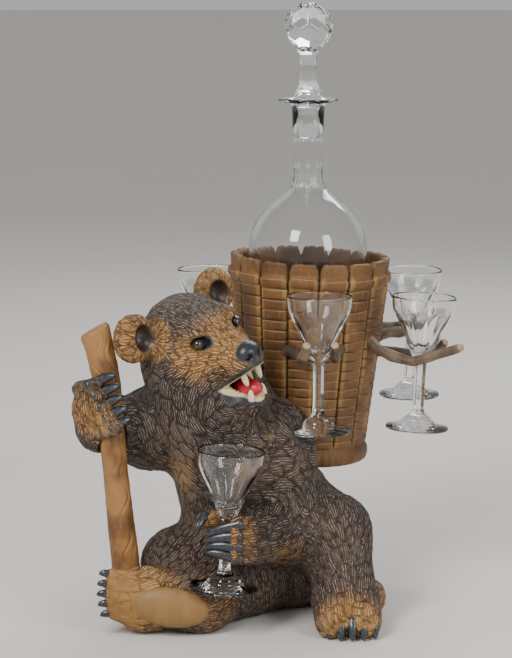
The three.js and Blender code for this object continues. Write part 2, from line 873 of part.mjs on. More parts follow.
function makeGlass() {
  const { height, rimRadius, bowlStart, wall } = glass;
  const inside = [
    [rimRadius - wall, height],
    [25.3 - wall, 100],
    [18.8 - wall, 84.5],
    [0, bowlStart + 5],
  ];
  return turned([...glassProfile(0), ...inside], evenAngles(glass.sides));
}

function glassEnvelope(grow) {
  const flats = 1 / Math.cos(Math.PI / glass.sides);
  const profile = glassProfile(grow).map(([r, z]) => [r * flats, z]);
  return turned([...profile, [0, glass.height]], evenAngles(glass.sides));
}

// A twig leaves the basket wall, passes under the bowl beside the stem and curls up past it.
// Its points are told from the glass: out from the basket, to the side, and up.
function twigLine(glassName, side, style) {
  const [, foot, rim] = glassPlaces.find(([name]) => name === glassName);
  const seat = foot.clone().lerp(rim, glass.bowlStart / glass.height);
  const axisX = basket.foot.x + (seat.z - basket.foot.z) * Math.tan(basket.lean);
  const out = point(seat.x - axisX, seat.y - basket.foot.y, 0);
  const away = out.length();
  out.normalize();
  const aside = point(-out.y, out.x, 0).multiplyScalar(side);
  const wallRadius = basketRadius(seat.z - basket.foot.z) - 2;
  const told = (outward, sideways, up) =>
    seat.clone().addScaledVector(out, outward).addScaledVector(aside, sideways).add(point(0, 0, up));
  const rootOut = Math.sqrt(wallRadius ** 2 - style.rootSide ** 2) - away;
  return [
    told(rootOut, style.rootSide, style.rootUp),
    told(rootOut + 14, mix(style.rootSide, style.bendSide, 0.7), style.rootUp * 0.4),
    told(-6, style.bendSide, -1),
    told(6, style.bendSide - 0.5, 0.5),
    told(style.endOut, style.endSide, style.endUp),
  ];
}

const twigStyle = {
  forked: { rootSide: 22, rootUp: -2, bendSide: 13.6, endOut: 17, endSide: 11, endUp: 13 },
  bent: { rootSide: 5, rootUp: 12, bendSide: 15, endOut: 41, endSide: 12, endUp: 13 },
};

const twigs = [
  ['twig_front_left', 'front', -1, twigStyle.forked],
  ['twig_front_right', 'front', 1, twigStyle.forked],
  ['twig_right_front_near', 'right_front', -1, twigStyle.bent],
  ['twig_right_front_far', 'right_front', 1, twigStyle.forked],
  ['twig_right_back_near', 'right_back', -1, twigStyle.forked],
  ['twig_right_back_far', 'right_back', 1, twigStyle.forked],
  ['twig_back_left', 'back', -1, twigStyle.forked],
  ['twig_back_right', 'back', 1, twigStyle.forked],
  ['twig_left_back_near', 'left_back', -1, twigStyle.forked],
  ['twig_left_back_far', 'left_back', 1, twigStyle.forked],
];

function makeTwig([, glassName, side, style]) {
  const radiusAt = (t) => mix(twig.rootRadius, twig.endRadius, t);
  return rodAlong(twigLine(glassName, side, style), radiusAt, twig.sides, twig.steps);
}

function ground() {
  const size = 400;
  return solidOfGeometry(new THREE.BoxGeometry(size, size, size).translate(0, 0, -size / 2));
}

function makeStaff(grow) {
  const knots = (t, angle) => 0.7 * Math.sin(7 * t + angle * 2);
  const radiusAt = (t, angle) => staff.radius + (grow > 0 ? grow : knots(t, angle));
  return rodAlong(staffLine, radiusAt, staff.sides, 8);
}

// A claw or fang is a short blunt cone that sinks its root in the toe or jaw
function makeCone({ root, tip, radius }) {
  const along = tip.clone().sub(root);
  const line = [root.clone().addScaledVector(along, -0.25), root.clone().addScaledVector(along, 0.45), tip];
  return rodAlong(line, (t) => radius * Math.sqrt(Math.max(1 - t * t, 0.02)), 5, 2);
}

function makeBear() {
  const low = point(-160, -112, -10);
  const high = point(118, 112, 296);
  const rough = meshField(sampleField(woodField, low, high, bearMesh.step));
  let bear = solidOf(coarsen(rough, woodField, edgeLengthAt, bearMesh.triangles));
  for (const cone of [...claws, ...fangs]) {
    bear = bear.add(solidOf(makeCone(cone)));
  }
  bear = bear.add(solidOfGeometry(makeSolePad()));
  const nearGlasses = glassPlaces.slice(0, 2);
  const taken = [
    ground(),
    solidOf(makeStaff(GAP + 0.8)),
    solidOf(basketEnvelope()),
    ...nearGlasses.map(([, foot, rim]) => solidOf(moved(glassEnvelope(GAP), standing(foot, rim)))),
    ...eyePlaces().map((centre) => solidOf(makeEye(centre, eye.radius + GAP))),
  ];
  for (const solid of taken) {
    bear = bear.subtract(solid);
  }
  return bear;
}

function eyePlaces() {
  return [1, -1].map((side) => onHead(eye.forward, side * eye.apart, eye.up));
}

function makeEye(centre, radius) {
  const latitudes = [-50, 0, 50];
  const profile = latitudes.map((latitude) => [radius * Math.cos(latitude * DEG), radius * Math.sin(latitude * DEG)]);
  const ball = turned([[0, -radius], ...profile, [0, radius]], evenAngles(7));
  return moved(ball, new THREE.Matrix4().makeTranslation(centre));
}

// Materials as the photograph shows them
const look = {
  fur: { color: 0x5b4636, roughness: 0.62, metalness: 0 },
  staff: { color: 0x7a5330, roughness: 0.6, metalness: 0 },
  basket: { color: 0x6e4d2c, roughness: 0.6, metalness: 0 },
  twig: { color: 0x5c4632, roughness: 0.65, metalness: 0 },
  eye: { color: 0x0a0a0c, roughness: 0.05, metalness: 0 },
  glass: { color: 0xe8f0f2, roughness: 0.03, metalness: 0, transparent: true, opacity: 0.3 },
};

const group = new THREE.Group();

function addPiece(name, geometry, finish) {
  const mesh = new THREE.Mesh(geometry, new THREE.MeshStandardMaterial(finish));
  mesh.name = name;
  group.add(mesh);
  return mesh;
}

addPiece('bear', geometryOf(makeBear()), look.fur);
eyePlaces().forEach((centre, i) => {
  addPiece(['eye_left', 'eye_right'][i], geometryOf(solidOf(makeEye(centre, eye.radius))), look.eye);
});
addPiece('staff', geometryOf(solidOf(makeStaff(0)).subtract(ground())), look.staff);
addPiece('basket', geometryOf(solidOf(makeBasket())), look.basket);
const basketSpace = solidOf(basketEnvelope());
for (const piece of twigs) {
  addPiece(piece[0], geometryOf(solidOf(makeTwig(piece)).subtract(basketSpace)), look.twig);
}
const upright = new THREE.Matrix4().makeTranslation(decanter.x, decanter.y, 0);
addPiece('decanter', geometryOf(solidOf(moved(makeDecanter(), upright))), look.glass);
addPiece('stopper', geometryOf(solidOf(moved(makeStopper(), upright))), look.glass);
for (const [name, foot, rim] of glassPlaces) {
  addPiece(`glass_${name}`, geometryOf(solidOf(moved(makeGlass(), standing(foot, rim)))), look.glass);
}

export default group;
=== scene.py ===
# %% [markdown]
# # A carved bear that carries a decanter and six glasses
#
# The object is a seated bear in stained lime wood. It holds a staff in its right paw and a
# small glass in its left. A basket carved like wicker is on its back, with a glass decanter
# in it, and twigs around the basket hold five more glasses.
#
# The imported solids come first, as a fixed frame in metres. Every finished surface below is
# worked out in millimetres and brought to metres when its mesh is made.

# %% Load the frame
import math

import bpy
import numpy as np
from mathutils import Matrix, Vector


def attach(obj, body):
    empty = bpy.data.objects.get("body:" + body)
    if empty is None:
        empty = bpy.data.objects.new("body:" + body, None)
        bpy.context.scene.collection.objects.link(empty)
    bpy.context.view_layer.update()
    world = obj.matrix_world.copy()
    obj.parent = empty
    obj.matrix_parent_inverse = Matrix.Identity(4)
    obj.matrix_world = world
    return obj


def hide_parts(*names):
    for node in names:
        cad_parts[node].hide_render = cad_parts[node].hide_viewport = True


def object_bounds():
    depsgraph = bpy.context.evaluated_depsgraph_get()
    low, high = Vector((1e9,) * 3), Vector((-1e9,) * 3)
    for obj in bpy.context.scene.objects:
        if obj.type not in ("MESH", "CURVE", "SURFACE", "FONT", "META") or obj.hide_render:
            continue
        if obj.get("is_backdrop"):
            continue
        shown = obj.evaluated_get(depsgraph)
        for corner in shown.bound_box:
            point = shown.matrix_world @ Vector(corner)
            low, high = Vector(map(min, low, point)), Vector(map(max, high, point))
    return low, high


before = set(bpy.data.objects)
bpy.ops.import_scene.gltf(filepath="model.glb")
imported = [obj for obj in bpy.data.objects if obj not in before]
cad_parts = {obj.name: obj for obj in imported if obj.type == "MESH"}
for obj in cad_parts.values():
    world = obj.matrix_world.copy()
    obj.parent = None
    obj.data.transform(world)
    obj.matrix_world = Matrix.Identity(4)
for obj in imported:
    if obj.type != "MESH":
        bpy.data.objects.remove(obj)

bpy.context.view_layer.update()
cad_low, cad_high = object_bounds()
print("solids", len(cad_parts), "box", [round(c, 3) for c in (*cad_low, *cad_high)])

MILLIMETRE = 0.001
DEGREE = math.pi / 180
TURN = 2 * math.pi

# %% [markdown]
# ## Writing shader maths as sums
#
# A wood stain is a long chain of small sums: this mask times that noise, less the grooves.
# One class wraps a node's output and adds a Math node for each operator, so that such a
# chain reads as an expression. A second class holds the material and makes every other node.


# %% Sockets that can be added and multiplied
class Number:
    """A node's output used as a number. Each operator adds one Math node."""

    def __init__(self, finish, output):
        self.finish = finish
        self.output = output

    def math(self, operation, *values):
        inputs = dict(enumerate(values))
        return self.finish.node("ShaderNodeMath", {"operation": operation}, inputs)

    def __add__(self, other):
        return self.math("ADD", self, other)

    def __sub__(self, other):
        return self.math("SUBTRACT", self, other)

    def __rsub__(self, other):
        return self.math("SUBTRACT", other, self)

    def __mul__(self, other):
        return self.math("MULTIPLY", self, other)

    def __truediv__(self, other):
        return self.math("DIVIDE", self, other)

    def __pow__(self, other):
        return self.math("POWER", self, other)

    __radd__ = __add__
    __rmul__ = __mul__

    def sine(self):
        return self.math("SINE", self)

    def fraction(self):
        return self.math("FRACT", self)

    def floor(self):
        return self.math("FLOOR", self)

    def size(self):
        return self.math("ABSOLUTE", self)

    def least(self, other):
        return self.math("MINIMUM", self, other)

    def most(self, other):
        return self.math("MAXIMUM", self, other)

    def root(self):
        return self.math("SQRT", self)

    def ramp(self, low, high):
        """A smooth step from 0 at low to 1 at high."""
        inputs = {"Value": self, "From Min": low, "From Max": high}
        settings = {"interpolation_type": "SMOOTHSTEP"}
        return self.finish.node("ShaderNodeMapRange", settings, inputs)


class Finish:
    """A material whose constant values sit on its shader and whose patterns are Numbers."""

    def __init__(self, name, **constant):
        self.material = bpy.data.materials.new(name)
        self.material.use_nodes = True
        self.tree = self.material.node_tree
        self.shader = self.tree.nodes["Principled BSDF"]
        for socket, value in constant.items():
            self.shader.inputs[socket.replace("_", " ")].default_value = value

    def node(self, kind, settings=None, inputs=None, output=0):
        """Adds a node, sets its settings, then fills its sockets with values or links."""
        made = self.tree.nodes.new(kind)
        for key, value in (settings or {}).items():
            setattr(made, key, value)
        for key, value in (inputs or {}).items():
            self.fill(made.inputs[key], value)
        return Number(self, made.outputs[output])

    def fill(self, socket, value):
        if isinstance(value, Number):
            self.tree.links.new(value.output, socket)
        else:
            socket.default_value = value

    def attribute(self, name, output="Fac"):
        return self.node("ShaderNodeAttribute", {"attribute_name": name}, output=output)

    def place(self):
        return self.node("ShaderNodeTexCoord", output="Object")

    def stretched(self, vector, scale):
        return self.node("ShaderNodeVectorMath", {"operation": "MULTIPLY"}, {0: vector, 1: scale})

    def parts(self, vector):
        split = self.node("ShaderNodeSeparateXYZ", inputs={0: vector}).output.node
        return [Number(self, split.outputs[axis]) for axis in range(3)]

    def vector(self, x, y, z):
        return self.node("ShaderNodeCombineXYZ", inputs={0: x, 1: y, 2: z})

    def noise(self, vector, scale, detail=2.0, roughness=0.5):
        inputs = {"Vector": vector, "Scale": scale, "Detail": detail, "Roughness": roughness}
        return self.node("ShaderNodeTexNoise", inputs=inputs)

    def mix(self, share, a, b, blend="MIX"):
        """A colour share of the way from a to b; a and b are colours or sockets."""
        settings = {"data_type": "RGBA", "blend_type": blend}
        colour = [(*c, 1) if isinstance(c, tuple) else c for c in (a, b)]
        inputs = {0: share, 6: colour[0], 7: colour[1]}
        return self.node("ShaderNodeMix", settings, inputs, output=2)

    def colour(self, value):
        self.fill(self.shader.inputs["Base Color"], value)

    def roughness(self, value):
        self.fill(self.shader.inputs["Roughness"], value)

    def bump(self, height, distance, strength=1.0):
        """Height runs from 0 to 1 and stands for distance metres."""
        inputs = {"Height": height, "Distance": distance, "Strength": strength}
        self.fill(self.shader.inputs["Normal"], self.node("ShaderNodeBump", inputs=inputs))


def shade(hexadecimal):
    """A colour as a paint chart writes it, such as 7a5330, in linear light."""
    parts = [int(hexadecimal[i : i + 2], 16) / 255 for i in (0, 2, 4)]
    return tuple(c / 12.92 if c < 0.04045 else ((c + 0.055) / 1.055) ** 2.4 for c in parts)


# %% [markdown]
# ## Meshes from arrays
#
# Every shape ends as an array of points and an array of faces. Turned and swept pieces are
# grids that close round on themselves, with a pole at either end.


# %% Make a mesh, ride the frame
def mesh_object(name, points, faces, materials, face_material=None):
    """Points are an (n, 3) array in millimetres, faces an (m, 3) or (m, 4) array."""
    data = bpy.data.meshes.new(name)
    points = np.asarray(points, np.float32) * MILLIMETRE
    faces = np.asarray(faces, np.int32)
    data.vertices.add(len(points))
    data.vertices.foreach_set("co", points.ravel())
    data.loops.add(faces.size)
    data.loops.foreach_set("vertex_index", faces.ravel())
    data.polygons.add(len(faces))
    data.polygons.foreach_set("loop_start", np.arange(0, faces.size, faces.shape[1], dtype=np.int32))
    data.polygons.foreach_set("use_smooth", np.ones(len(faces), bool))
    if face_material is not None:
        data.polygons.foreach_set("material_index", np.asarray(face_material, np.int32))
    for material in materials:
        data.materials.append(material)
    data.update(calc_edges=True)
    data.validate()
    made = bpy.data.objects.new(name, data)
    bpy.context.scene.collection.objects.link(made)
    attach(made, "root")
    triangles = len(faces) * (faces.shape[1] - 2)
    print(f"{name}: {len(points)} points, {triangles} triangles")
    return made


def give(made, name, values):
    """Stores one number, or three, for each point of a piece."""
    values = np.asarray(values, np.float32)
    kind = "FLOAT" if values.ndim == 1 else "FLOAT_VECTOR"
    attribute = made.data.attributes.new(name, kind, "POINT")
    attribute.data.foreach_set("value" if values.ndim == 1 else "vector", values.ravel())


def closed_grid(rows):
    """Rows of points that close round on themselves, capped by a fan at each end.

    Takes an (r, c, 3) array and gives the points and the faces, all as triangles. The faces
    look outwards where the columns run anticlockwise seen from the last row.
    """
    count, columns = rows.shape[:2]
    i, j = np.meshgrid(np.arange(count - 1), np.arange(columns), indexing="ij")
    after = (j + 1) % columns
    a, b = i * columns + j, i * columns + after
    c, d = (i + 1) * columns + after, (i + 1) * columns + j
    sides = np.concatenate([np.stack([a, b, c], -1), np.stack([a, c, d], -1)]).reshape(-1, 3)
    around = np.arange(columns)
    low, high = count * columns, count * columns + 1
    first = np.stack([np.full(columns, low), (around + 1) % columns, around], -1)
    top = (count - 1) * columns
    last = np.stack([np.full(columns, high), top + around, top + (around + 1) % columns], -1)
    points = np.concatenate([rows.reshape(-1, 3), rows[:1].mean(1), rows[-1:].mean(1)])
    return points, np.concatenate([sides, first, last])


def smooth_line(knots, count):
    """A smooth curve through the knots, sampled count times (a uniform cubic through each)."""
    knots = np.asarray(knots, float)
    padded = np.concatenate([2 * knots[:1] - knots[1:2], knots, 2 * knots[-1:] - knots[-2:-1]])
    t = np.linspace(0, len(knots) - 1, count)
    i = np.minimum(t.astype(int), len(knots) - 2)
    t = (t - i)[:, None]
    p0, p1, p2, p3 = (padded[i + k] for k in range(4))
    return 0.5 * (2 * p1 + (p2 - p0) * t + (2 * p0 - 5 * p1 + 4 * p2 - p3) * t**2 + (3 * p1 - p0 - 3 * p2 + p3) * t**3)


def unit(vectors):
    return vectors / np.maximum(np.linalg.norm(vectors, axis=-1, keepdims=True), 1e-9)


def swept(path, radius, columns):
    """A round section carried along a path without twist.

    radius is an (r, columns) array. Each row's frame is the last one's, turned the least
    that keeps it square to the path.
    """
    along = unit(np.gradient(path, axis=0))
    side = unit(np.cross(along[0], [0.3, 0.9, 0.2]))
    sides = []
    for direction in along:
        side = unit(side - direction * side.dot(direction))
        sides.append(side)
    sides = np.array(sides)
    across = np.cross(along, sides)
    angle = np.arange(columns) / columns * TURN
    ring = sides[:, None] * np.cos(angle)[None, :, None] + across[:, None] * np.sin(angle)[None, :, None]
    return path[:, None] + ring * radius[..., None]


def turned(profile, columns, shape=None):
    """A profile of (radius, height) carried round the z axis.

    shape may change the radius: it takes the radius, the angle and the height as arrays.
    """
    profile = np.asarray(profile, float)
    angle = (np.arange(columns) + 0.5) / columns * TURN
    radius = np.repeat(profile[:, :1], columns, 1)
    height = np.repeat(profile[:, 1:], columns, 1)
    if shape:
        radius = shape(radius, np.broadcast_to(angle, radius.shape), height)
    return np.stack([radius * np.cos(angle), radius * np.sin(angle), height], -1)


def standing(rows, foot, top):
    """Stands rows made on the z axis upright between two points."""
    up = unit(np.subtract(top, foot))
    side = unit(np.cross([0.0, 1.0, 0.0], up))
    axes = np.stack([side, np.cross(up, side), up])
    return rows @ axes + foot


# %% [markdown]
# ## Where everything stands
#
# These are the same named sizes as the solids use, in millimetres: the head's turn, the
# staff's line, the basket, and the foot and rim of each glass.

# %% Places and sizes
GAP = 0.35
EYE = {"radius": 4.9, "forward": 33.5, "apart": 21.5, "up": 5.5}
HEAD = {"centre": np.array([-53.0, -18.0, 227.5]), "yaw": 45 * DEGREE, "pitch": 2.6 * DEGREE, "roll": 18 * DEGREE}


def head_axes():
    """Along the snout, to the bear's left and to the crown, as three rows."""
    yaw, pitch, roll = HEAD["yaw"], HEAD["pitch"], HEAD["roll"]
    forward = np.array([math.sin(yaw) * math.cos(pitch), -math.cos(yaw) * math.cos(pitch), math.sin(pitch)])
    level = np.array([math.cos(yaw), math.sin(yaw), 0])
    left = level * math.cos(roll) + np.cross(forward, level) * math.sin(roll)
    return np.stack([forward, left, np.cross(forward, left)])


HEAD_FRAME = head_axes()


def on_head(forward, left, up):
    return HEAD["centre"] + np.array([forward, left, up]) @ HEAD_FRAME


STAFF_LINE = [
    (-102, -32.5, 0),
    (-103.5, -40, 46),
    (-107, -45, 85),
    (-112, -46, 141),
    (-116, -45, 189),
    (-121, -45, 217),
    (-126.3, -45, 240),
]
STAFF_RADIUS = 10.4

BASKET = {
    "foot": np.array([39, 88, 108.7]),
    "lean": 2.1 * DEGREE,
    "height": 170,
    "ledge_height": 15,
    "ledge_radius": 54.5,
    "bottom_radius": 52.5,
    "top_radius": 67.5,
    "wall": 8,
    "floor": 12,
    "staves": 16,
}

GLASSES = {
    "paw": ((-25.2, -80, 38.8), (-18.9, -80, 149.2)),
    "front": ((49.5, -14, 149.7), (50.2, -14, 260.1)),
    "right_front": ((132.5, 42, 141.2), (137.7, 42, 250.3)),
    "right_back": ((132.5, 138, 151), (133.1, 135, 261)),
    "back": ((50.5, 192, 148.3), (51, 192, 258.3)),
    "left_back": ((-41, 150, 150), (-41.5, 150, 260.1)),
}


def basket_radius(height):
    share = (height - BASKET["ledge_height"]) / (BASKET["height"] - BASKET["ledge_height"])
    return BASKET["bottom_radius"] + (BASKET["top_radius"] - BASKET["bottom_radius"]) * share


# %% [markdown]
# ## The bear as a field
#
# A carver roughs out a bear from big rounded masses and then lets the chisel run them into
# each other. The same is done here with a field: a number for every point in space that is
# negative in the wood and zero on its surface. Round bones and eggs are joined with fillets,
# and hollows are cut with softened edges. A sculpted mesh would need thousands of hand-placed
# points; the field needs only the places of the joints, which the solids already have.


# %% The field's building blocks
def smooth_join(a, b, blend):
    """The lesser of two distances, with a fillet where they are within blend of each other."""
    h = np.maximum(blend - np.abs(a - b), 0) / blend
    return np.minimum(a, b) - h * h * blend * 0.25


def bone_distance(p, a, b, radius_a, radius_b):
    """Distance to the line from a to b, less a radius that changes along it."""
    a, b = np.asarray(a, np.float32), np.asarray(b, np.float32)
    ab = b - a
    t = np.clip((p - a) @ ab / max(float(ab @ ab), 1e-6), 0, 1)
    return np.linalg.norm(p - a - t[:, None] * ab, axis=1) - (radius_a + (radius_b - radius_a) * t)


def egg_distance(p, centre, radii, axes):
    """Distance to a ball that is stretched by three radii, from its value and its slope."""
    q = (p - np.asarray(centre, np.float32)) @ np.asarray(axes.T, np.float32) / np.asarray(radii, np.float32)
    far = np.linalg.norm(q, axis=1)
    slope = np.linalg.norm(q / np.asarray(radii, np.float32), axis=1)
    return far * (far - 1) / np.maximum(slope, 1e-6)


def wedge_distance(p, corner, upper, lower):
    """Space between two planes that meet in a line across the head; negative between them."""
    local = (p - on_head(corner[0], 0, corner[1]).astype(np.float32)) @ HEAD_FRAME.T.astype(np.float32)
    above = unit(np.array([-(upper[1] - corner[1]), upper[0] - corner[0]]))
    below = unit(np.array([lower[1] - corner[1], -(lower[0] - corner[0])]))
    return np.maximum(local[:, 0] * above[0] + local[:, 2] * above[1], local[:, 0] * below[0] + local[:, 2] * below[1])


WORLD = np.eye(3)
carving = []


def bone(a, b, radius_a, radius_b, blend=10):
    carving.append((lambda p, d: bone_distance(p, a, b, radius_a, radius_b), blend, False))


def egg(centre, radii, blend=10, axes=WORLD):
    carving.append((lambda p, d: egg_distance(p, centre, radii, axes), blend, False))


def hollow(centre, radii, blend=3, axes=WORLD):
    carving.append((lambda p, d: egg_distance(p, centre, radii, axes), blend, True))


def strap(line, half_width, proud):
    """A flat band that stands proud of what is carved so far, along a line of points."""

    def distance(p, d):
        stretches = [bone_distance(p, a, b, half_width, half_width) for a, b in zip(line, line[1:])]
        return np.maximum(np.min(stretches, 0), d - proud)

    carving.append((distance, 1, False))


def wood(p):
    """The field at an (n, 3) array of points."""
    d = np.full(len(p), 1e3, np.float32)
    for distance, blend, cut in carving:
        other = distance(p, d).astype(np.float32)
        d = -smooth_join(-d, other, blend) if cut else smooth_join(d, other, blend)
    return d


# %% [markdown]
# ## Roughing out the bear
#
# The lists below are the bear's own anatomy: trunk, straps, legs, arms and head, in the order
# in which the solids join them. Claws and fangs are kept apart, as cones, because they are
# smooth and polished where everything round them is tooled.

# %% Trunk, legs and straps
claws = []
fangs = []


def carve_trunk():
    belly, chest, nape = (-2, 8, 86), (-13, 2, 124), (-34, -2, 162)
    egg((12, 20, 50), (62, 54, 56), 1)
    bone(belly, chest, 60, 52, 18)
    bone(chest, nape, 50, 46, 18)
    egg((22, 42, 26), (58, 40, 34), 16)
    bone((-38, -4, 168), (-47, -10, 200), 45, 43, 16)
    bone((-30, -22, 166), (-22, -34, 176), 30, 26, 14)
    egg((16, -2, 142), (28, 26, 26), 12)


def carve_left_leg():
    hip, knee, ankle = (53, 14, 52), (62, -34, 73), (71, -54, 28)
    bone(hip, knee, 43, 27, 20)
    bone(knee, ankle, 27, 24, 14)
    for side in (-1, 1):
        bone((71 + side * 8, -54, 18.5), (72 + side * 12, -80, 12.5), 19, 14, 8)
    egg((90, -12, 13), (15, 20, 15), 8)
    for i in range(5):
        side = i - 2
        x, y = 74.5 + side * 8.3, -89 + side * side * 1.2
        bone((x, y + 12, 17), (x, y, 13.5), 6, 4.6, 3)
        claws.append(((x, y - 1, 14), (x + side * 0.8, y - 7, 1), 3.9))


SOLE_PAD = {"middle": (-66.5, -84, 25), "radii": (31, 9.5, 16), "turn": 8 * DEGREE}


def sole_frame():
    turn = SOLE_PAD["turn"]
    return np.array([[math.cos(turn), 0, -math.sin(turn)], [0, 1, 0], [math.sin(turn), 0, math.cos(turn)]])


def carve_right_leg():
    hip, knee, heel = (-12, 0, 44), (-63, -20, 43), (-44, -60, 22)
    bone(hip, knee, 42, 27, 16)
    bone(knee, heel, 25, 20, 14)
    bone((-14, -20, 28), heel, 30, 21, 14)
    bone(heel, (-84, -66, 27), 21, 22, 12)
    egg((-88, -70, 27), (24, 15, 26), 8)
    for i in range(5):
        root = np.array([-96, -79, 46 - i * 8.2])
        tip = np.array([-110 - math.sin((i + 1) * 0.55) * 4, -80, 50 - i * 7.8])
        bone(root, tip, 6.2, 4.8, 2.5)
        claws.append((tip + (-1, -1, 0), tip + (-10, -2, 1 - i * 0.6), 3))
    egg(SOLE_PAD["middle"], SOLE_PAD["radii"], 0.6, sole_frame())


STRAP_LEFT = [
    (34, 26, 170),
    (26, 0, 170),
    (8, -36, 148),
    (-14, -52, 122),
    (-18, -58, 102),
    (2, -60, 78),
    (36, -34, 52),
    (54, 6, 60),
    (56, 22, 84),
    (44, 34, 112),
]
STRAP_RIGHT = [(-58, 34, 176), (-78, 8, 184), (-86, -22, 160), (-80, -28, 120)]
STRAP_HALF, STRAP_PROUD = 8, 2.4


# %% Arms
def carve_right_arm():
    shoulder, elbow, wrist, palm = (-60, 16, 150), (-85, 4, 148), (-122, -36, 158), (-127, -48, 174)
    bone(shoulder, elbow, 35, 32, 14)
    bone(elbow, wrist, 28, 19, 12)
    bone(wrist, palm, 18, 17, 8)
    for i in range(5):
        z, shift = 195 - i * 8.6, i * 4.2
        bone((-137 + shift * 0.4, -50, z - 4), (-130 + shift, -60, z), 6.5, 5.5, 3)
        bone((-130 + shift, -60, z), (-125 + shift, -62, z + 2), 5.5, 5, 2)
        claws.append(((-127 + shift, -62.5, z + 2), (-108 + shift * 0.7, -58, z + 9), 3.8))


def carve_left_arm():
    shoulder, elbow, wrist, palm = (17, -8, 138), (23, -32, 73), (-4, -60, 76), (-14, -73, 78)
    bone(shoulder, elbow, 29, 24, 12)
    bone(elbow, wrist, 24, 21, 10)
    bone(wrist, palm, 21, 17, 8)
    for i in range(4):
        z = 92 - i * 8.6
        bone((-4, -86, z), (-16, -92, z), 6, 5.4, 3)
        claws.append(((-16, -93.5, z), (-39.5, -91, 84 - i * 4.4), 4))
    bone((-24, -68, 92), (-40, -78, 93), 7, 6, 4)
    claws.append(((-40, -80, 96), (-46, -89, 88), 3.4))


# %% [markdown]
# ## The head
#
# The head looks up and to its left, with an open mouth. Everything on it is placed in the
# head's own directions, so that the turn of the head is one set of angles. The mouth is a
# wedge cut across the muzzle, with a deeper hollow behind the lips and a tongue in it.

# %% Head and mouth
MOUTH = {"corner": (43, -34), "upper": (71, -20), "lower": (66, -50)}
GULLET = ((50, 0, -34), (20, 10, 12))
TONGUE = ((52, 0, -40), (15, 7.5, 7))
NOSE = ((62, 0, -9.5), (10, 11.5, 9.5))


def head_egg(middle, radii, blend):
    egg(on_head(*middle), radii, blend, HEAD_FRAME)


def head_hollow(middle, radii, blend):
    hollow(on_head(*middle), radii, blend, HEAD_FRAME)


def carve_mouth():
    carving.append((lambda p, d: wedge_distance(p, MOUTH["corner"], MOUTH["upper"], MOUTH["lower"]), 1, True))
    head_hollow(*GULLET, 2)
    head_egg(*TONGUE, 2)
    for side in (-1, 1):
        fangs.append((on_head(60, side * 8, -27), on_head(61, side * 7.5, -35), 2.4))
        fangs.append((on_head(60.5, side * 7, -46), on_head(61.5, side * 6.5, -38.5), 2.4))


def carve_head():
    head_egg((-3, 0, -2), (38, 37, 36), 14)
    for side in (-1, 1):
        head_egg((10, side * 20, -22), (24, 20, 24), 12)
        head_egg((24, side * 17, 12), (13, 11, 9), 8)
    bone(on_head(12, 0, -12), on_head(46, 0, -20), 29, 18, 8)
    bone(on_head(24, 0, 0), on_head(54, 0, -11), 19, 13, 8)
    for side in (-1, 1):
        head_egg((57, side * 7, -18), (12, 8.5, 9), 4)
    bone(on_head(18, 0, -42), on_head(55, 0, -51), 18, 10, 6)
    carve_mouth()
    head_egg(*NOSE, 1.5)
    for side in (-1, 1):
        head_hollow((70, side * 5.4, -10.5), (5, 2.7, 2.5), 1.5)
        head_egg((-10, side * 46, 18), (12, 19, 19.5), 5)
        head_hollow((3, side * 43.5, 18), (14, 9.5, 11), 2)
        head_hollow((EYE["forward"] + 3, side * EYE["apart"], EYE["up"]), (6, 7.5, 4.5), 3)


carve_trunk()
carve_left_leg()
carve_right_leg()
strap(STRAP_LEFT, STRAP_HALF, STRAP_PROUD)
strap(STRAP_RIGHT, STRAP_HALF, STRAP_PROUD)
carve_right_arm()
carve_left_arm()
carve_head()
print("carving steps", len(carving), "claws", len(claws), "fangs", len(fangs))

# %% [markdown]
# ## What the bear makes room for
#
# The staff, the basket, the two glasses nearest the body, the glass eyes and the table top
# are cut out of the wood with a little air around them, just as on the solids.


# %% Room for the neighbours
def turned_distance(p, profile):
    """Distance to a turned solid on the z axis, from a closed outline of (radius, height)."""
    q = np.stack([np.hypot(p[:, 0], p[:, 1]), p[:, 2]], 1)
    outline = np.asarray(profile, np.float32)
    best = np.full(len(q), 1e9, np.float32)
    inside = np.zeros(len(q), bool)
    for a, b in zip(outline, np.roll(outline, -1, 0)):
        ab = b - a
        t = np.clip((q - a) @ ab / max(float(ab @ ab), 1e-9), 0, 1)
        best = np.minimum(best, np.linalg.norm(q - a - t[:, None] * ab, axis=1))
        crosses = (a[1] > q[:, 1]) != (b[1] > q[:, 1])
        rise = ab[1] if abs(ab[1]) > 1e-9 else 1e-9
        inside ^= crosses & (q[:, 0] < a[0] + ab[0] * (q[:, 1] - a[1]) / rise)
    return np.where(inside, -best, best)


def in_place(p, foot, top):
    """World points told from a piece that stands between foot and top."""
    up = unit(np.subtract(top, foot))
    side = unit(np.cross([0.0, 1.0, 0.0], up))
    axes = np.stack([side, np.cross(up, side), up]).astype(np.float32)
    return (p - np.asarray(foot, np.float32)) @ axes.T


GLASS_OUTLINE = [(0, 0), (26.4, 0), (26.4, 2), (15.5, 3.2), (12, 7.7), (4.9, 14), (4.9, 57), (8.4, 60), (19.2, 84.5), (25.7, 100), (26.7, 112), (0, 112)]
BASKET_TOP = BASKET["foot"] + (math.sin(BASKET["lean"]) * 170, 0, math.cos(BASKET["lean"]) * 170)
BASKET_OUTLINE = [(0, 0), (54.5, 0), (54.5, 12), (53, 15), (69.5, 170), (0, 170)]


def eye_places():
    return [on_head(EYE["forward"], side * EYE["apart"], EYE["up"]) for side in (1, -1)]


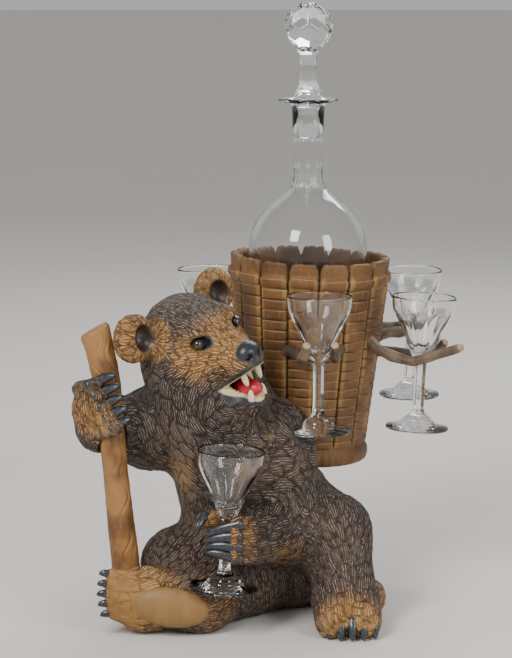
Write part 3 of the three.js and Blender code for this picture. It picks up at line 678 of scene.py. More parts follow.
def neighbours(p):
    """Distance to the nearest thing that the wood must stay clear of."""
    staff = [bone_distance(p, a, b, STAFF_RADIUS + 1, STAFF_RADIUS + 1) for a, b in zip(STAFF_LINE, STAFF_LINE[1:])]
    glasses = [turned_distance(in_place(p, *GLASSES[name]), GLASS_OUTLINE) for name in ("paw", "front")]
    basket = turned_distance(in_place(p, BASKET["foot"], BASKET_TOP), BASKET_OUTLINE)
    eyes = [np.linalg.norm(p - centre.astype(np.float32), axis=1) - EYE["radius"] for centre in eye_places()]
    return np.min([*staff, *glasses, basket, *eyes], 0) - GAP


def bear_field(p):
    return np.maximum(np.maximum(wood(p), -neighbours(p)), -p[:, 2])


# %% [markdown]
# ## From the field to a mesh
#
# Metaballs or a voxel remesh could mesh such a form, but both use one cell size throughout.
# Here the field is sampled where three sets of grid lines cross, and the lines crowd together
# at the face, so that lips and eyelids get small faces and the haunches large ones. A surface
# net then puts one point in each cell that the surface passes through.


# %% Grid lines and samples
def grid_lines(low, high, fine_low, fine_high, fine, coarse):
    """Coordinates whose step is fine between two limits and grows to coarse away from them."""
    s = np.linspace(low, high, 4000)
    away = np.clip(np.maximum(fine_low - s, s - fine_high) / 24, 0, 1)
    count = np.cumsum((s[1] - s[0]) / (fine + (coarse - fine) * away))
    return np.interp(np.arange(int(count[-1])), count, s).astype(np.float32)


BLOCK = 4
BATCH = 250000


def in_batches(field, points):
    return np.concatenate([field(points[i : i + BATCH]) for i in range(0, len(points), BATCH)])


def spread(blocks, size):
    """Gives each grid point the value of the block that it is in."""
    for axis in range(3):
        blocks = blocks.repeat(BLOCK, axis)
    return blocks[: size[0], : size[1], : size[2]]


def sample(field, lines):
    """The field where grid lines cross: exact near the surface, one value a block elsewhere."""
    size = [len(line) for line in lines]
    middles = [line[np.minimum(np.arange(0, len(line), BLOCK) + BLOCK // 2, len(line) - 1)] for line in lines]
    centres = np.stack(np.meshgrid(*middles, indexing="ij"), -1)
    rough = in_batches(field, centres.reshape(-1, 3)).reshape(centres.shape[:3])
    widest = max(float(np.diff(line).max()) for line in lines) * BLOCK
    value = spread(rough, size).copy()
    near = np.nonzero(spread(np.abs(rough) < widest * 1.7, size))
    value[near] = in_batches(field, np.stack([line[i] for line, i in zip(lines, near)], 1))
    return value


def surface_net(lines, value):
    """Points and four-sided faces of the surface where the value is zero.

    A cell with corners on both sides gets one point, the mean of where its edges cross the
    surface. Each grid edge that crosses it gets a face between the four cells around it.
    """
    inside = value < 0
    cells = tuple(n - 1 for n in value.shape)
    corner = [tuple(slice(o, o + n) for o, n in zip(offset, cells)) for offset in np.ndindex(2, 2, 2)]
    filled = np.sum([inside[c] for c in corner], 0, dtype=np.int8)
    where = np.nonzero((filled > 0) & (filled < 8))
    total, hits = np.zeros((len(where[0]), 3)), np.zeros(len(where[0]))
    for axis in range(3):
        for offset in np.ndindex(2, 2):
            a = [w + o for w, o in zip(where, np.insert(offset, axis, 0))]
            b = [w + (n == axis) for n, w in enumerate(a)]
            low, high = value[tuple(a)], value[tuple(b)]
            crosses = (low < 0) != (high < 0)
            share = np.where(crosses, low / np.where(crosses, low - high, 1), 0)
            place = np.stack([line[i] for line, i in zip(lines, a)], 1)
            place[:, axis] += share * (lines[axis][b[axis]] - lines[axis][a[axis]])
            total += place * crosses[:, None]
            hits += crosses
    number = np.full(cells, -1, np.int32)
    number[where] = np.arange(len(where[0]))
    faces = []
    for axis in range(3):
        before, after = inside.take(range(cells[axis]), axis), inside.take(range(1, cells[axis] + 1), axis)
        edge = list(np.nonzero(before != after))
        u, v = (axis + 1) % 3, (axis + 2) % 3
        kept = (edge[u] > 0) & (edge[v] > 0) & (edge[u] < cells[u]) & (edge[v] < cells[v])
        edge = [e[kept] for e in edge]
        around = []
        for back_u, back_v in ((1, 1), (0, 1), (0, 0), (1, 0)):
            place = [e.copy() for e in edge]
            place[u] -= back_u
            place[v] -= back_v
            around.append(number[tuple(place)])
        ring = np.stack(around, 1)
        faces.append(np.where(before[tuple(edge)][:, None], ring, ring[:, ::-1]))
    return total / hits[:, None], np.concatenate(faces)


# %% Mesh the bear's bare form
FINE, COARSE = 1.15, 2.3
BEAR_LINES = [
    grid_lines(-150, 110, -60, 0, FINE, COARSE),
    grid_lines(-104, 88, -72, -30, FINE, COARSE),
    grid_lines(-4, 284, 180, 236, FINE, COARSE),
]
bear_points, bear_faces = surface_net(BEAR_LINES, sample(bear_field, BEAR_LINES))
print("bear", [len(line) for line in BEAR_LINES], len(bear_points), "points", 2 * len(bear_faces), "triangles")

# %% [markdown]
# ## Where the fur flows
#
# A carver follows the coat: back from the nose, round the jaw in long arcs, down the chest and
# along each limb to the claws. Guide lines say so here, and at any point the flow is the mean
# of their directions, weighted by how near they run. Round the throat and on the ears the flow
# is a rule instead: rings about the chin, and rays out of the ear's hollow.


# %% Guides and flow
def guide_lines():
    """Runs of points that the fur follows, each with the radius of the limb around it."""
    runs = [
        (12, [on_head(60, 0, 2), on_head(34, 0, 22), on_head(6, 0, 34), on_head(-26, 0, 30), on_head(-40, 0, -4)]),
        (32, [(-34, 20, 200), (-20, 26, 160), (10, 50, 90), (24, 70, 20)]),
        (24, [(-16, -30, 184), (-14, -34, 150), (-12, -38, 100), (4, -32, 60), (10, -30, 14)]),
        (20, [(40, 0, 140), (44, 30, 90), (50, 50, 30)]),
        (20, [(-62, 14, 130), (-56, 20, 80), (-40, 30, 26)]),
        (30, [(-60, 16, 150), (-85, 4, 148), (-122, -36, 158), (-126, -50, 186)]),
        (28, [(17, -8, 140), (23, -32, 76), (-4, -60, 76), (-30, -80, 78)]),
        (34, [(50, 16, 60), (62, -34, 73), (71, -54, 30), (74, -96, 8)]),
        (34, [(-12, 0, 44), (-63, -20, 43), (-60, -60, 26), (-116, -78, 28)]),
        (14, [(84, 4, 20), (92, -26, 4)]),
    ]
    for side in (-1, 1):
        cheek = [on_head(60, side * 8, -18), on_head(36, side * 18, -14), on_head(8, side * 34, -10), on_head(-24, side * 26, -16)]
        jaw = [on_head(56, side * 5, -52), on_head(22, side * 16, -56), on_head(-6, side * 22, -58)]
        runs += [(12, cheek), (10, jaw)]
    return [(radius, np.array(a, float), np.array(b, float)) for radius, run in runs for a, b in zip(run, run[1:])]


GUIDES = guide_lines()
CHIN = on_head(50, 0, -42)
EARS = [on_head(-4, side * 44, 18) for side in (-1, 1)]


def smoothstep(x, low, high):
    t = np.clip((x - low) / (high - low), 0, 1)
    return t * t * (3 - 2 * t)


def on_throat(p):
    """How much a point belongs to the ruff: 1 under and behind the jaw, 0 elsewhere."""
    away = np.linalg.norm(p - CHIN, axis=1)
    level = (p - HEAD["centre"]) @ HEAD_FRAME[2]
    return smoothstep(level, 0, -22) * smoothstep(away, 104, 84) * smoothstep(away, 18, 34)


def on_ear(p):
    """Nearness to either ear, and the direction out of its hollow."""
    rays = [p - ear for ear in EARS]
    away = [np.linalg.norm(ray, axis=1) for ray in rays]
    nearest = np.where((away[0] < away[1])[:, None], rays[0], rays[1])
    return smoothstep(np.minimum(*away), 27, 20), unit(nearest)


def fur_flow(p):
    """The coat's direction at each point, as unit vectors."""
    p = np.asarray(p, float)
    flow = np.zeros_like(p)
    for radius, a, b in GUIDES:
        weight = (6 / (np.maximum(bone_distance(p, a, b, radius, radius), 0) + 6)) ** 4
        flow += weight[:, None] * unit(b - a)
    ring = unit(np.cross(p - CHIN, HEAD_FRAME[1]))
    throat = on_throat(p)[:, None]
    ear, ray = on_ear(p)
    flow = unit(flow) * (1 - throat) + ring * throat
    return unit(flow * (1 - ear[:, None]) + ray * ear[:, None])


def mesh_normals(points, faces):
    """The mean normal of the faces round each point, weighted by their areas."""
    a, b, c, d = (points[faces[:, n]] for n in range(4))
    normal = np.cross(c - a, d - b)
    total = np.zeros_like(points)
    for n in range(4):
        for axis in range(3):
            total[:, axis] += np.bincount(faces[:, n], normal[:, axis], len(points))
    return unit(total)


bear_normals = mesh_normals(bear_points, bear_faces)
print("guides", len(GUIDES), "mean outwardness", round(float((bear_normals * (bear_points - bear_points.mean(0))).sum(1).mean()), 1))

# %% [markdown]
# ## Locks of fur
#
# The chisel leaves the coat as thousands of short overlapping locks. Each is a low mound that
# is longer than wide, higher at its tip, and tucked under the next. Space is cut into small
# cubes with one seed at a random place in each. A point on the surface looks at the seeds of
# the 27 cubes around it and belongs to the one whose mound stands highest there. That gives
# the relief and, for the stain and the finer cuts, where in its own lock a point is.


# %% Seeds and mounds
def hashed(cells, salt):
    """A number from 0 to 1 for each row of whole numbers, the same on every run."""
    primes = np.array([73856093, 19349663, 83492791], np.uint32)
    h = (cells.astype(np.int64).astype(np.uint32) * primes).sum(-1, dtype=np.uint32) + np.uint32(salt * 977)
    for shift, factor in ((15, 2246822519), (13, 3266489917)):
        h = (h ^ (h >> np.uint32(shift))) * np.uint32(factor)
    return (h ^ (h >> np.uint32(16))) / 2.0**32


def lock_size(p):
    """Scale of the locks: small on the face, long on the throat and the paws."""
    face = smoothstep((p - HEAD["centre"]) @ HEAD_FRAME[0], -34, 6) * smoothstep((p - HEAD["centre"]) @ HEAD_FRAME[2], -34, -14)
    face *= smoothstep(np.linalg.norm(p - on_head(24, 0, 0), axis=1), 62, 50)
    return 1 - 0.5 * face + 0.5 * on_throat(p)


LOCK_LAYERS = [(5.5, 0.0, 0.72), (9.5, 0.72, 1.2), (13.5, 1.2, 9.0)]


def comb(p, normal):
    """For each point its lock's height, the lead over the next lock, and its place in it."""
    best = np.full(len(p), -9.0)
    second = best.copy()
    place = np.zeros((len(p), 3))
    for pitch, least, most in LOCK_LAYERS:
        cell = np.floor(p / pitch).astype(np.int32)
        offsets = np.array(list(np.ndindex(3, 3, 3))) - 1
        around = cell[:, None] + offsets
        span = around.reshape(-1, 3).max(0) - around.reshape(-1, 3).min(0) + 1
        base = around.reshape(-1, 3).min(0)
        code = ((around - base) * np.array([1, span[0], span[0] * span[1]])).sum(-1)
        unique, which = np.unique(code, return_inverse=True)
        which = which.reshape(code.shape)
        cubes = np.stack([unique % span[0], unique // span[0] % span[1], unique // (span[0] * span[1])], 1) + base
        seeds = (cubes + 0.1 + 0.8 * np.stack([hashed(cubes, salt) for salt in (1, 2, 3)], 1)) * pitch
        scale = lock_size(seeds)
        fits = (scale >= least) & (scale < most)
        flow = fur_flow(seeds)
        chance = hashed(cubes, 4)
        for n in range(27):
            seed = which[:, n]
            along = flow[seed] - normal * (flow[seed] * normal).sum(1, keepdims=True)
            along = unit(along)
            across = np.cross(normal, along)
            away = p - seeds[seed]
            a, b, c = ((away * v).sum(1) / pitch for v in (along, across, normal))
            mound = 1 - (b / 0.62) ** 2 - (a / 1.25) ** 2 - 0.4 * c * c + 0.45 * a + 0.3 * chance[seed]
            mound = np.where(fits[seed], mound, -9)
            wins = mound > best
            second = np.where(wins, best, np.maximum(second, mound))
            best = np.where(wins, mound, best)
            told = np.stack([b * pitch, a * pitch, chance[seed]], 1)
            place = np.where(wins[:, None], told, place)
    return best, best - second, place


lock_height, lock_lead, lock_place = comb(bear_points, bear_normals)
print("lock height", lock_height.min().round(2), lock_height.max().round(2), "lead", lock_lead.mean().round(2))

# %% [markdown]
# ## What is painted, and what is left bare
#
# The coat is stained, but nose, lips and the ears' hollows are blue-black, the teeth ivory,
# the mouth red, and the sole and the straps are smooth wood. Each of these is worked out from
# the same forms that were carved, so that paint and carving meet exactly.


# %% Painted parts and tones
def near_egg(p, middle, radii, reach):
    """1 on and inside a stretched ball in the head's directions, 0 from reach away."""
    return smoothstep(egg_distance(p, on_head(*middle), radii, HEAD_FRAME), reach, 0)


def strap_mask(p):
    """1 on the two straps, where they lie on the body and no limb covers them."""
    first = next(i for i, step in enumerate(carving) if step[0].__name__ == "distance")
    d = np.full(len(p), 1e3, np.float32)
    for distance, blend, _ in carving[:first]:
        d = smooth_join(d, distance(p, d).astype(np.float32), blend)
    stretches = [(line[i], line[i + 1]) for line in (STRAP_LEFT, STRAP_RIGHT) for i in range(len(line) - 1)]
    aside = np.min([bone_distance(p, a, b, STRAP_HALF, STRAP_HALF) for a, b in stretches], 0)
    return smoothstep(aside, 0.9, 0.1) * smoothstep(np.abs(d - STRAP_PROUD), 1.2, 0.6), aside


def blobs(p, places):
    """The greatest of several soft round patches, each a middle, a reach and a strength."""
    return np.max([k * np.exp(-(((p - middle) ** 2).sum(1)) / reach**2) for middle, reach, k in places], 0)


GOLDEN = [
    (on_head(46, 0, 0), 34, 1.0),
    (on_head(30, -24, -4), 24, 1.0),
    (on_head(30, 24, -4), 24, 1.0),
    (on_head(40, 0, -24), 26, 0.9),
    (np.array([-24, -92, 84]), 30, 1.0),
    (np.array([-128, -56, 174]), 26, 0.85),
    (np.array([74, -92, 12]), 30, 1.0),
    (np.array([96, -24, 8]), 22, 1.0),
    (np.array([-96, -80, 28]), 40, 1.0),
    (np.array([-30, -70, 20]), 30, 0.7),
    (np.array([70, -50, 40]), 26, 0.5),
    (np.array([-58, -30, 120]), 26, 0.55),
    (np.array([26, -54, 62]), 24, 0.6),
]
# Patches of painted shade: under the jaw and the near cheek, on the belly under both arms, by the right thigh and on
# the right arm behind the staff.
SHADE_PATCHES = [
    (on_head(26, 0, -60), 34, 1.0),
    (on_head(0, -20, -46), 30, 0.8),
    (np.array([-30, -50, 100]), 32, 0.75),
    (np.array([20, -50, 46]), 30, 0.7),
    (np.array([-60, 0, 60]), 34, 0.6),
    (np.array([-70, -10, 150]), 26, 0.8),
]
GREYING = [(on_head(-8, 0, 36), 34, 1.0), (on_head(22, 0, 26), 16, 0.9), (on_head(-20, -40, -20), 40, 0.6)]


def painting(p):
    """The masks of every painted part, by name."""
    q = (p - HEAD["centre"]) @ HEAD_FRAME.T
    front = smoothstep(q[:, 0], MOUTH["corner"][0] - 3, MOUTH["corner"][0] + 1)
    cut = wedge_distance(p, MOUTH["corner"], MOUTH["upper"], MOUTH["lower"])
    gullet = egg_distance(p, on_head(*GULLET[0]), GULLET[1], HEAD_FRAME)
    tongue = near_egg(p, *TONGUE, 1.2)
    jaws = front * smoothstep(np.abs(q[:, 1]), 24, 20)
    inside = smoothstep(gullet, 1.0, 0.2) * smoothstep(cut, 8, 4) * jaws
    ivory = smoothstep(np.abs(cut), 1.3, 0.5) * (1 - inside) * jaws
    lip = smoothstep(cut, 4.4, 3.0) * smoothstep(cut, 0.2, 1.0) * jaws * (1 - inside)
    nose = near_egg(p, *NOSE, 0.9) * smoothstep(q[:, 0], 56, 59)
    ears = np.max([near_egg(p, (3, side * 43.5, 18), (14, 9.5, 11), 1.6) for side in (-1, 1)], 0)
    sockets = [near_egg(p, (EYE["forward"] + 4, side * EYE["apart"], EYE["up"]), (8, 10, 5.4), 1.6) for side in (-1, 1)]
    pad = smoothstep(egg_distance(p, SOLE_PAD["middle"], SOLE_PAD["radii"], sole_frame()), 1.0, 0.2) * smoothstep(p[:, 1], -84, -87)
    toes = smoothstep(p[:, 0], -90, -96) * smoothstep(p[:, 1], -74, -80) * smoothstep(p[:, 2], 70, 62)
    straps, aside = strap_mask(p)
    return {
        "black": np.max([lip, nose, *sockets, ears * 0.9], 0),
        "ivory": ivory,
        "red": np.maximum(inside, tongue * front),
        "tongue": tongue * front,
        "pad": pad,
        "toes": toes * (1 - pad),
        "strap": straps,
        "aside": aside,
    }


paint = painting(bear_points)
bare = np.max([paint[k] for k in ("black", "ivory", "red", "pad", "strap")], 0)
bare = np.maximum(bare, paint["toes"] * 0.75)
open_air = in_batches(bear_field, bear_points + bear_normals * 7)
# Gold and grey are the stain's own tones. The shade patches and the last mask, dark where the field 7 mm out along the
# normal shows the air shut in, are painted shade.
stain_and_shade = {
    "gold": np.maximum(blobs(bear_points, GOLDEN), on_ear(bear_points)[0]),
    "shade_patch": blobs(bear_points, SHADE_PATCHES),
    "grey": blobs(bear_points, GREYING),
    "occlusion_shade": 1 - smoothstep(open_air, -1, 7),
}
print("painted", {k: int((v > 0.5).sum()) for k, v in paint.items() if k != "aside"})

# %% [markdown]
# ## Claws and teeth
#
# Claws and fangs are turned along a bent path, sunk in the toe or the jaw, and stay closed
# shells of their own in the same mesh, as the knife leaves a clean line round each.


# %% Cones that bend
def cone(root, tip, radius, bend, rows=12, columns=14):
    """A blunt horn: radius times the root of 1 - t squared, along a path that bends by bend.

    It is a little flat from side to side and has a ridge along its back.
    """
    t = np.linspace(-0.25, 1, rows)[:, None]
    along = np.subtract(tip, root)
    path = root + along * t + np.asarray(bend, float) * np.sin(np.clip(t, 0, 1) * math.pi)
    angle = np.arange(columns) / columns * TURN
    profile = radius * np.sqrt(np.clip(1 - np.clip(t, 0, 1) ** 2.2, 0.015, 1))
    return closed_grid(swept(path, profile * (1 + 0.1 * np.cos(2 * angle) + 0.05 * np.cos(angle) ** 8), columns))


def low_teeth():
    """Small teeth along the lower jaw, between its fangs and the corner of the mouth."""
    made = []
    for side in (-1, 1):
        for i in range(5):
            t = i / 4
            foot = on_head(58 - 11 * t, side * (7.6 + 1.8 * t), -46.2 + 6.5 * t)
            made.append((foot, foot + HEAD_FRAME[2] * (3.4 - 1.2 * t), 1.25 - 0.3 * t))
    return made


shells = [(cone(*claw, bend=(0, 0, 0.9)), 1) for claw in claws]
shells += [(cone(*fang, bend=(0, 0, 0), rows=9, columns=10), 2) for fang in fangs]
shells += [(cone(*tooth, bend=(0, 0, 0), rows=6, columns=8), 3) for tooth in low_teeth()]
print("claws and teeth", len(shells))

# %% [markdown]
# ## The bear's mesh
#
# The relief of the locks is pushed along the normals, less where the wood is bare and not at
# all beside a neighbour or on the ground. The masks go along as attributes for the stain and
# for the painted shade.


# %% Put the bear together
RELIEF = 1.25


def dressed_bear():
    scale = lock_size(bear_points)
    free = smoothstep(neighbours(bear_points), 0.3, 3.5) * smoothstep(bear_points[:, 2], 0.2, 3)
    mound = np.clip(lock_height, 0, 1.3) - 0.85 + 0.35 * smoothstep(lock_lead, 0, 0.2) - 0.2
    lift = (1 - bare) * free * RELIEF * scale * mound
    groove = paint["strap"] * smoothstep(np.abs(paint["aside"] + 2.6), 0.9, 0.2) * 0.5
    moved = bear_points + bear_normals * (lift - groove)[:, None]
    moved[:, 2] = np.maximum(moved[:, 2], 0)
    return moved


def bear_piece(materials):
    body = np.concatenate([bear_faces[:, [0, 1, 2]], bear_faces[:, [0, 2, 3]]])
    points, faces, which = [dressed_bear()], [body], [np.zeros(len(body), int)]
    for (shell_points, shell_faces), material in shells:
        faces.append(shell_faces + sum(len(p) for p in points))
        points.append(shell_points)
        which.append(np.full(len(shell_faces), material))
    points = np.concatenate(points)
    made = mesh_object("bear_carving", points, np.concatenate(faces), materials, np.concatenate(which))
    extra = len(points) - len(bear_points)

    def stored(name, *columns):
        give(made, name, np.pad(np.stack(columns, 1), ((0, extra), (0, 0))))

    stored("stroke", *lock_place.T)
    stored("relief", lock_lead, lock_height, 1 - bare)
    # Gold and grey stain, with the painted shade patches in the middle column.
    stored("stain_and_shade", stain_and_shade["gold"], stain_and_shade["shade_patch"], stain_and_shade["grey"])
    stored("skin", paint["black"], paint["ivory"], paint["red"])
    stored("smooth", np.maximum(paint["strap"], paint["pad"]), paint["toes"], paint["tongue"])
    # The first column is painted shade where the air is shut in.
    stored("depth", stain_and_shade["occlusion_shade"], paint["strap"], paint["aside"])
    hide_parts("bear")
    return made


# %% [markdown]
# ## Eyes, staff and twigs
#
# The eyes are blown glass beads, a little proud in front where the cornea is. The staff is a
# branch with its bark cut into furrows, rows of small notches, and a slanting cut on top. The
# twigs are the same thing, small: pegged into the basket, bent, with pale cut ends.


# %% The two glass eyes
def eyeball(side):
    """A ball turned about its line of sight, with a low dome for the cornea."""
    t = np.linspace(0, math.pi, 30)[1:-1]
    dome = 0.05 * np.exp(-((t - math.pi) ** 2) / 0.35)
    radius = EYE["radius"] * (0.95 + dome)
    rows = turned(np.stack([radius * np.sin(t), -radius * np.cos(t)], 1), 40)
    middle = on_head(EYE["forward"], side * EYE["apart"], EYE["up"])
    sight = np.array([0.62, side * 0.72, 0.2]) @ HEAD_FRAME
    return closed_grid(standing(rows, middle, middle + sight)), middle, unit(sight)


# %% Branches with bark
def wander(t, angle, seed):
    """A smooth pattern on a branch: a few sines along and around it, from -1 to 1."""
    rng = np.random.default_rng(seed)
    total = np.zeros(np.broadcast(t, angle).shape)
    for around, along, shift, share in zip((0, 1, 2, 3, 5), rng.uniform(2, 9, 5), rng.uniform(0, TURN, 5), (0.3, 0.3, 0.2, 0.15, 0.1)):
        total += share * np.sin(around * angle + along * t * TURN + shift)
    return total


def staff_rows(count=300, columns=96):
    """The staff's rings: radius 10.4 mm, broad knots, furrows of bark and rows of notches."""
    path = smooth_line(STAFF_LINE, count)
    length = np.concatenate([[0], np.cumsum(np.linalg.norm(np.diff(path, axis=0), axis=1))])[:, None]
    t, angle = length / length[-1], np.arange(columns)[None] / columns * TURN
    knots = 0.7 * np.sin(7 * t + angle * 2)
    drift = angle + 0.5 * wander(t, angle * 0, 5) + 0.02 * length * 0
    furrow = np.abs(np.sin(drift * 5 + 1.4 * np.sin(length / 37))) ** 0.5 * 0.55
    furrow += np.abs(np.sin(drift * 8 - 1.1 * np.sin(length / 23 + 2))) ** 0.6 * 0.3
    notch = np.zeros_like(t * angle)
    for start, end, where, pitch in STAFF_NOTCHES:
        inside = smoothstep(length, start, start + 2) * smoothstep(length, end, end - 2)
        beside = np.exp(-(((angle - where + math.pi) % TURN - math.pi) ** 2) / 0.2**2)
        notch = np.maximum(notch, inside * beside * np.clip(1.5 * np.cos(length / pitch * TURN), 0, 1))
    radius = STAFF_RADIUS - 0.5 + knots + furrow - 1.2 * notch
    end = smoothstep(length, length[-1], length[-1] - 3)
    radius = radius * (0.9 + 0.1 * end)
    rows = swept(path, radius, columns)
    slant = smoothstep(length, 222, 246)[..., None]
    rows = rows - slant * np.array([0, 0, 1.0]) * (rows[..., :1] + 119) * -0.35
    rows[..., 2] = np.maximum(rows[..., 2], 0)
    return rows, furrow, notch


STAFF_NOTCHES = [(214, 238, 4.2, 4.2), (118, 172, 4.0, 4.6), (52, 96, 4.9, 4.4)]


def glass_seat(name):
    """Where the glass's bowl starts, and the direction out of the basket there."""
    foot, rim = (np.array(end, float) for end in GLASSES[name])
    seat = foot + (rim - foot) * 60 / 110
    axis_x = BASKET["foot"][0] + (seat[2] - BASKET["foot"][2]) * math.tan(BASKET["lean"])
    out = np.array([seat[0] - axis_x, seat[1] - BASKET["foot"][1], 0])
    return seat, unit(out), float(np.linalg.norm(out))


FORKED = {"root_side": 22, "root_up": -2, "bend_side": 13.6, "end_out": 17, "end_side": 11, "end_up": 13}
BENT = {"root_side": 5, "root_up": 12, "bend_side": 15, "end_out": 41, "end_side": 12, "end_up": 13}


def twig_line(name, side, style):
    """A twig's knots: out of the wall, beside the stem, under the bowl and up past it."""
    seat, out, away = glass_seat(name)
    aside = np.array([-out[1], out[0], 0]) * side
    wall = basket_radius(seat[2] - BASKET["foot"][2]) - 1
    root = math.sqrt(wall**2 - style["root_side"] ** 2) - away
    told = [
        (root, style["root_side"], style["root_up"]),
        (root + 14, style["root_side"] + (style["bend_side"] - style["root_side"]) * 0.7, style["root_up"] * 0.4),
        (-6, style["bend_side"], -1),
        (6, style["bend_side"] - 0.5, 0.5),
        (style["end_out"], style["end_side"], style["end_up"]),
    ]
    return np.array([seat + out * o + aside * a + (0, 0, u) for o, a, u in told])


def twig_rows(line, seed, count=84, columns=28):
    """A twig from 4.8 to 3.6 mm in radius, with low furrows, two knots and rounded cut ends."""
    path = smooth_line(line, count)
    t, angle = np.linspace(0, 1, count)[:, None], np.arange(columns)[None] / columns * TURN
    knot = sum(0.8 * np.exp(-(((t - at) / 0.035) ** 2)) * (1 + 0.6 * np.cos(angle - at * 9)) for at in (0.36, 0.8))
    furrow = 0.35 * np.abs(np.sin(angle * 3.5 + 2 * wander(t, angle * 0, seed))) ** 0.7
    end = np.sqrt(np.clip(1 - ((t - 0.97) / 0.034).clip(0) ** 2, 0.6, 1))
    radius = (4.5 - 1.2 * t + knot * 0.7 + furrow + 0.3 * wander(t, angle, seed)) * end
    return swept(path, radius, columns), furrow, np.broadcast_to(smoothstep(t, 0.975, 0.99), radius.shape)


TWIGS = [
    ("front_left", "front", -1, FORKED),
    ("front_right", "front", 1, FORKED),
    ("right_front_near", "right_front", -1, BENT),
    ("right_front_far", "right_front", 1, FORKED),
    ("right_back_near", "right_back", -1, FORKED),
    ("right_back_far", "right_back", 1, FORKED),
    ("back_left", "back", -1, FORKED),
    ("back_right", "back", 1, FORKED),
    ("left_back_near", "left_back", -1, FORKED),
    ("left_back_far", "left_back", 1, FORKED),
]

# %% [markdown]
# ## The basket
#
# The pannier is one block of wood, hollowed, and cut so that it looks woven: sixteen upright
# staves, crowned, with courses cut across them. A course is a little taller at the top than
# at the foot. Each stave's courses start at their own height and lean their own way, because
# they were cut one stave at a time.


# %% Basket, as a radius over angle and height
def course_number(height):
    """How many courses lie below a height; their pitch grows from 7.1 mm to 8.9 mm."""
    z = height - BASKET["ledge_height"]
    low, grow = 7.1, 1.8 / 140
    return np.log(1 + grow * z / low) / grow


def basket_grid(columns=480):
    """Rows of the outside from the foot up, over the rim and down the inside to the floor."""
    foot = [(46, 0), (51, 0.3), (53.2, 1.4), (54.3, 3.6), (54.6, 6.5), (54.5, 9.5), (53.9, 12), (52.8, 13.8), (51.6, 15)]
    outside = [(basket_radius(z), z) for z in np.concatenate([np.arange(15.8, 160, 1.15), np.linspace(161, 170, 8)])]
    rim = [(basket_radius(170) - 1.5, 170.6), (basket_radius(170) - 4.5, 170.8), (basket_radius(170) - 7, 170.2)]
    inside = [(basket_radius(z) - 8, z) for z in np.concatenate([np.linspace(168, 150, 7), np.arange(144, 12, -8)])]
    floor = [(basket_radius(12) - 8.5, 12), (30, 12), (12, 12)]
    profile = np.array(foot + outside + rim + inside + floor)
    angle = np.arange(columns) / columns * TURN
    radius = np.repeat(profile[:, :1], columns, 1)
    z = np.repeat(profile[:, 1:], columns, 1)
    stave = angle * BASKET["staves"] / TURN - 0.25
    number, s = np.floor(stave), stave % 1
    edge = np.minimum(s, 1 - s)[None]
    kind = np.concatenate([np.full(len(part), n) for n, part in enumerate((foot, outside, rim, inside, floor))])[:, None]
    chance = [hashed(np.stack([number, number * 0, number * 0], 1), salt)[None] for salt in (11, 12, 13)]
    course = course_number(z) + 0.35 * (chance[0] - 0.5) + (chance[1] - 0.5) * 0.35 * (s[None] - 0.5)
    course_edge = np.abs(course - np.round(course))
    woven = (kind == 1) * smoothstep(z, 15, 18) * smoothstep(z, 152, 149)
    ring = (kind == 1) * smoothstep(z, 149.5, 151.5) * smoothstep(z, 160.5, 158.5)
    block = (kind == 1) * smoothstep(z, 158.5, 160.5)
    crown = 1 - np.clip(1 - edge * 2, 0, 1) ** 3
    groove = np.exp(-((edge / 0.045) ** 2))
    incision = np.exp(-((course_edge / 0.055) ** 2))
    pillow = np.sqrt(np.clip(1 - (1 - 2 * course_edge) ** 4, 0, 1))
    relief = woven * (1.7 * crown - 1.5 + 0.5 * pillow - 1.1 * incision - 1.3 * groove)
    relief += ring * (1.5 * crown - 0.2 + 1.0 * np.sin(np.clip((z - 150) / 9.5, 0, 1) * math.pi) - 1.9 * groove)
    relief += block * (-1.4 + 0.5 * crown - 1.4 * groove)
    relief += (kind == 2) * (-0.6 * groove)
    relief += (kind == 0) * 0.5 * wander(angle[None], z / 40, 8)
    radius = radius + relief
    ragged = 0.8 * wander(angle[None] * 2.5, angle[None] * 0, 3) + 1.2 * (chance[2] - 0.5)
    notch = 8 * np.exp(-((edge / 0.085) ** 2)) - ragged
    height = z - notch * smoothstep(z, 152, 170) * (kind < 4)
    level = (kind == 4) * radius * np.cos(angle) * math.tan(BASKET["lean"])
    rows = np.stack([radius * np.cos(angle), radius * np.sin(angle), height + level], -1)
    dark = np.maximum(np.clip(incision * woven, 0, 1), np.clip(groove * (woven + ring + block + (kind == 2)), 0, 1))
    weave = np.stack([np.broadcast_to(s, z.shape), course, np.broadcast_to(chance[2], z.shape)], -1)
    return rows, dark, weave, np.broadcast_to(kind, z.shape), woven + ring


# %% [markdown]
# ## Glass
#
# Decanter and glasses are blown, then cut. A blown wall is a profile turned about an axis,
# outside up and inside down, so the wall has its true thickness. The cutting is a change of
# the outside radius only: flat panels round a bowl are a polygon's radius, r times cos(half a
# side) over cos(the angle from the nearest flat's middle), blended in where the wheel has cut.


# %% Blown and cut shapes
def fine_profile(knots, count):
    """A smooth curve through (radius, height) knots, in even steps of its length."""
    line = smooth_line(np.asarray(knots, float), 2000)
    length = np.concatenate([[0], np.cumsum(np.linalg.norm(np.diff(line, axis=0), axis=1))])
    even = np.linspace(0, length[-1], count)
    return np.stack([np.interp(even, length, line[:, axis]) for axis in range(2)], 1)


def polygon(radius, angle, sides):
    """The radius of a polygon whose corners are at the given radius."""
    half = math.pi / sides
    return radius * math.cos(half) / np.cos((angle + half) % (2 * half) - half)


BASKET_FLOOR = BASKET["foot"][2] + BASKET["floor"] * math.cos(BASKET["lean"])
DECANTER = {"x": 43.2, "y": 88, "lip": 409.5, "wall": 2.5, "base": 6}


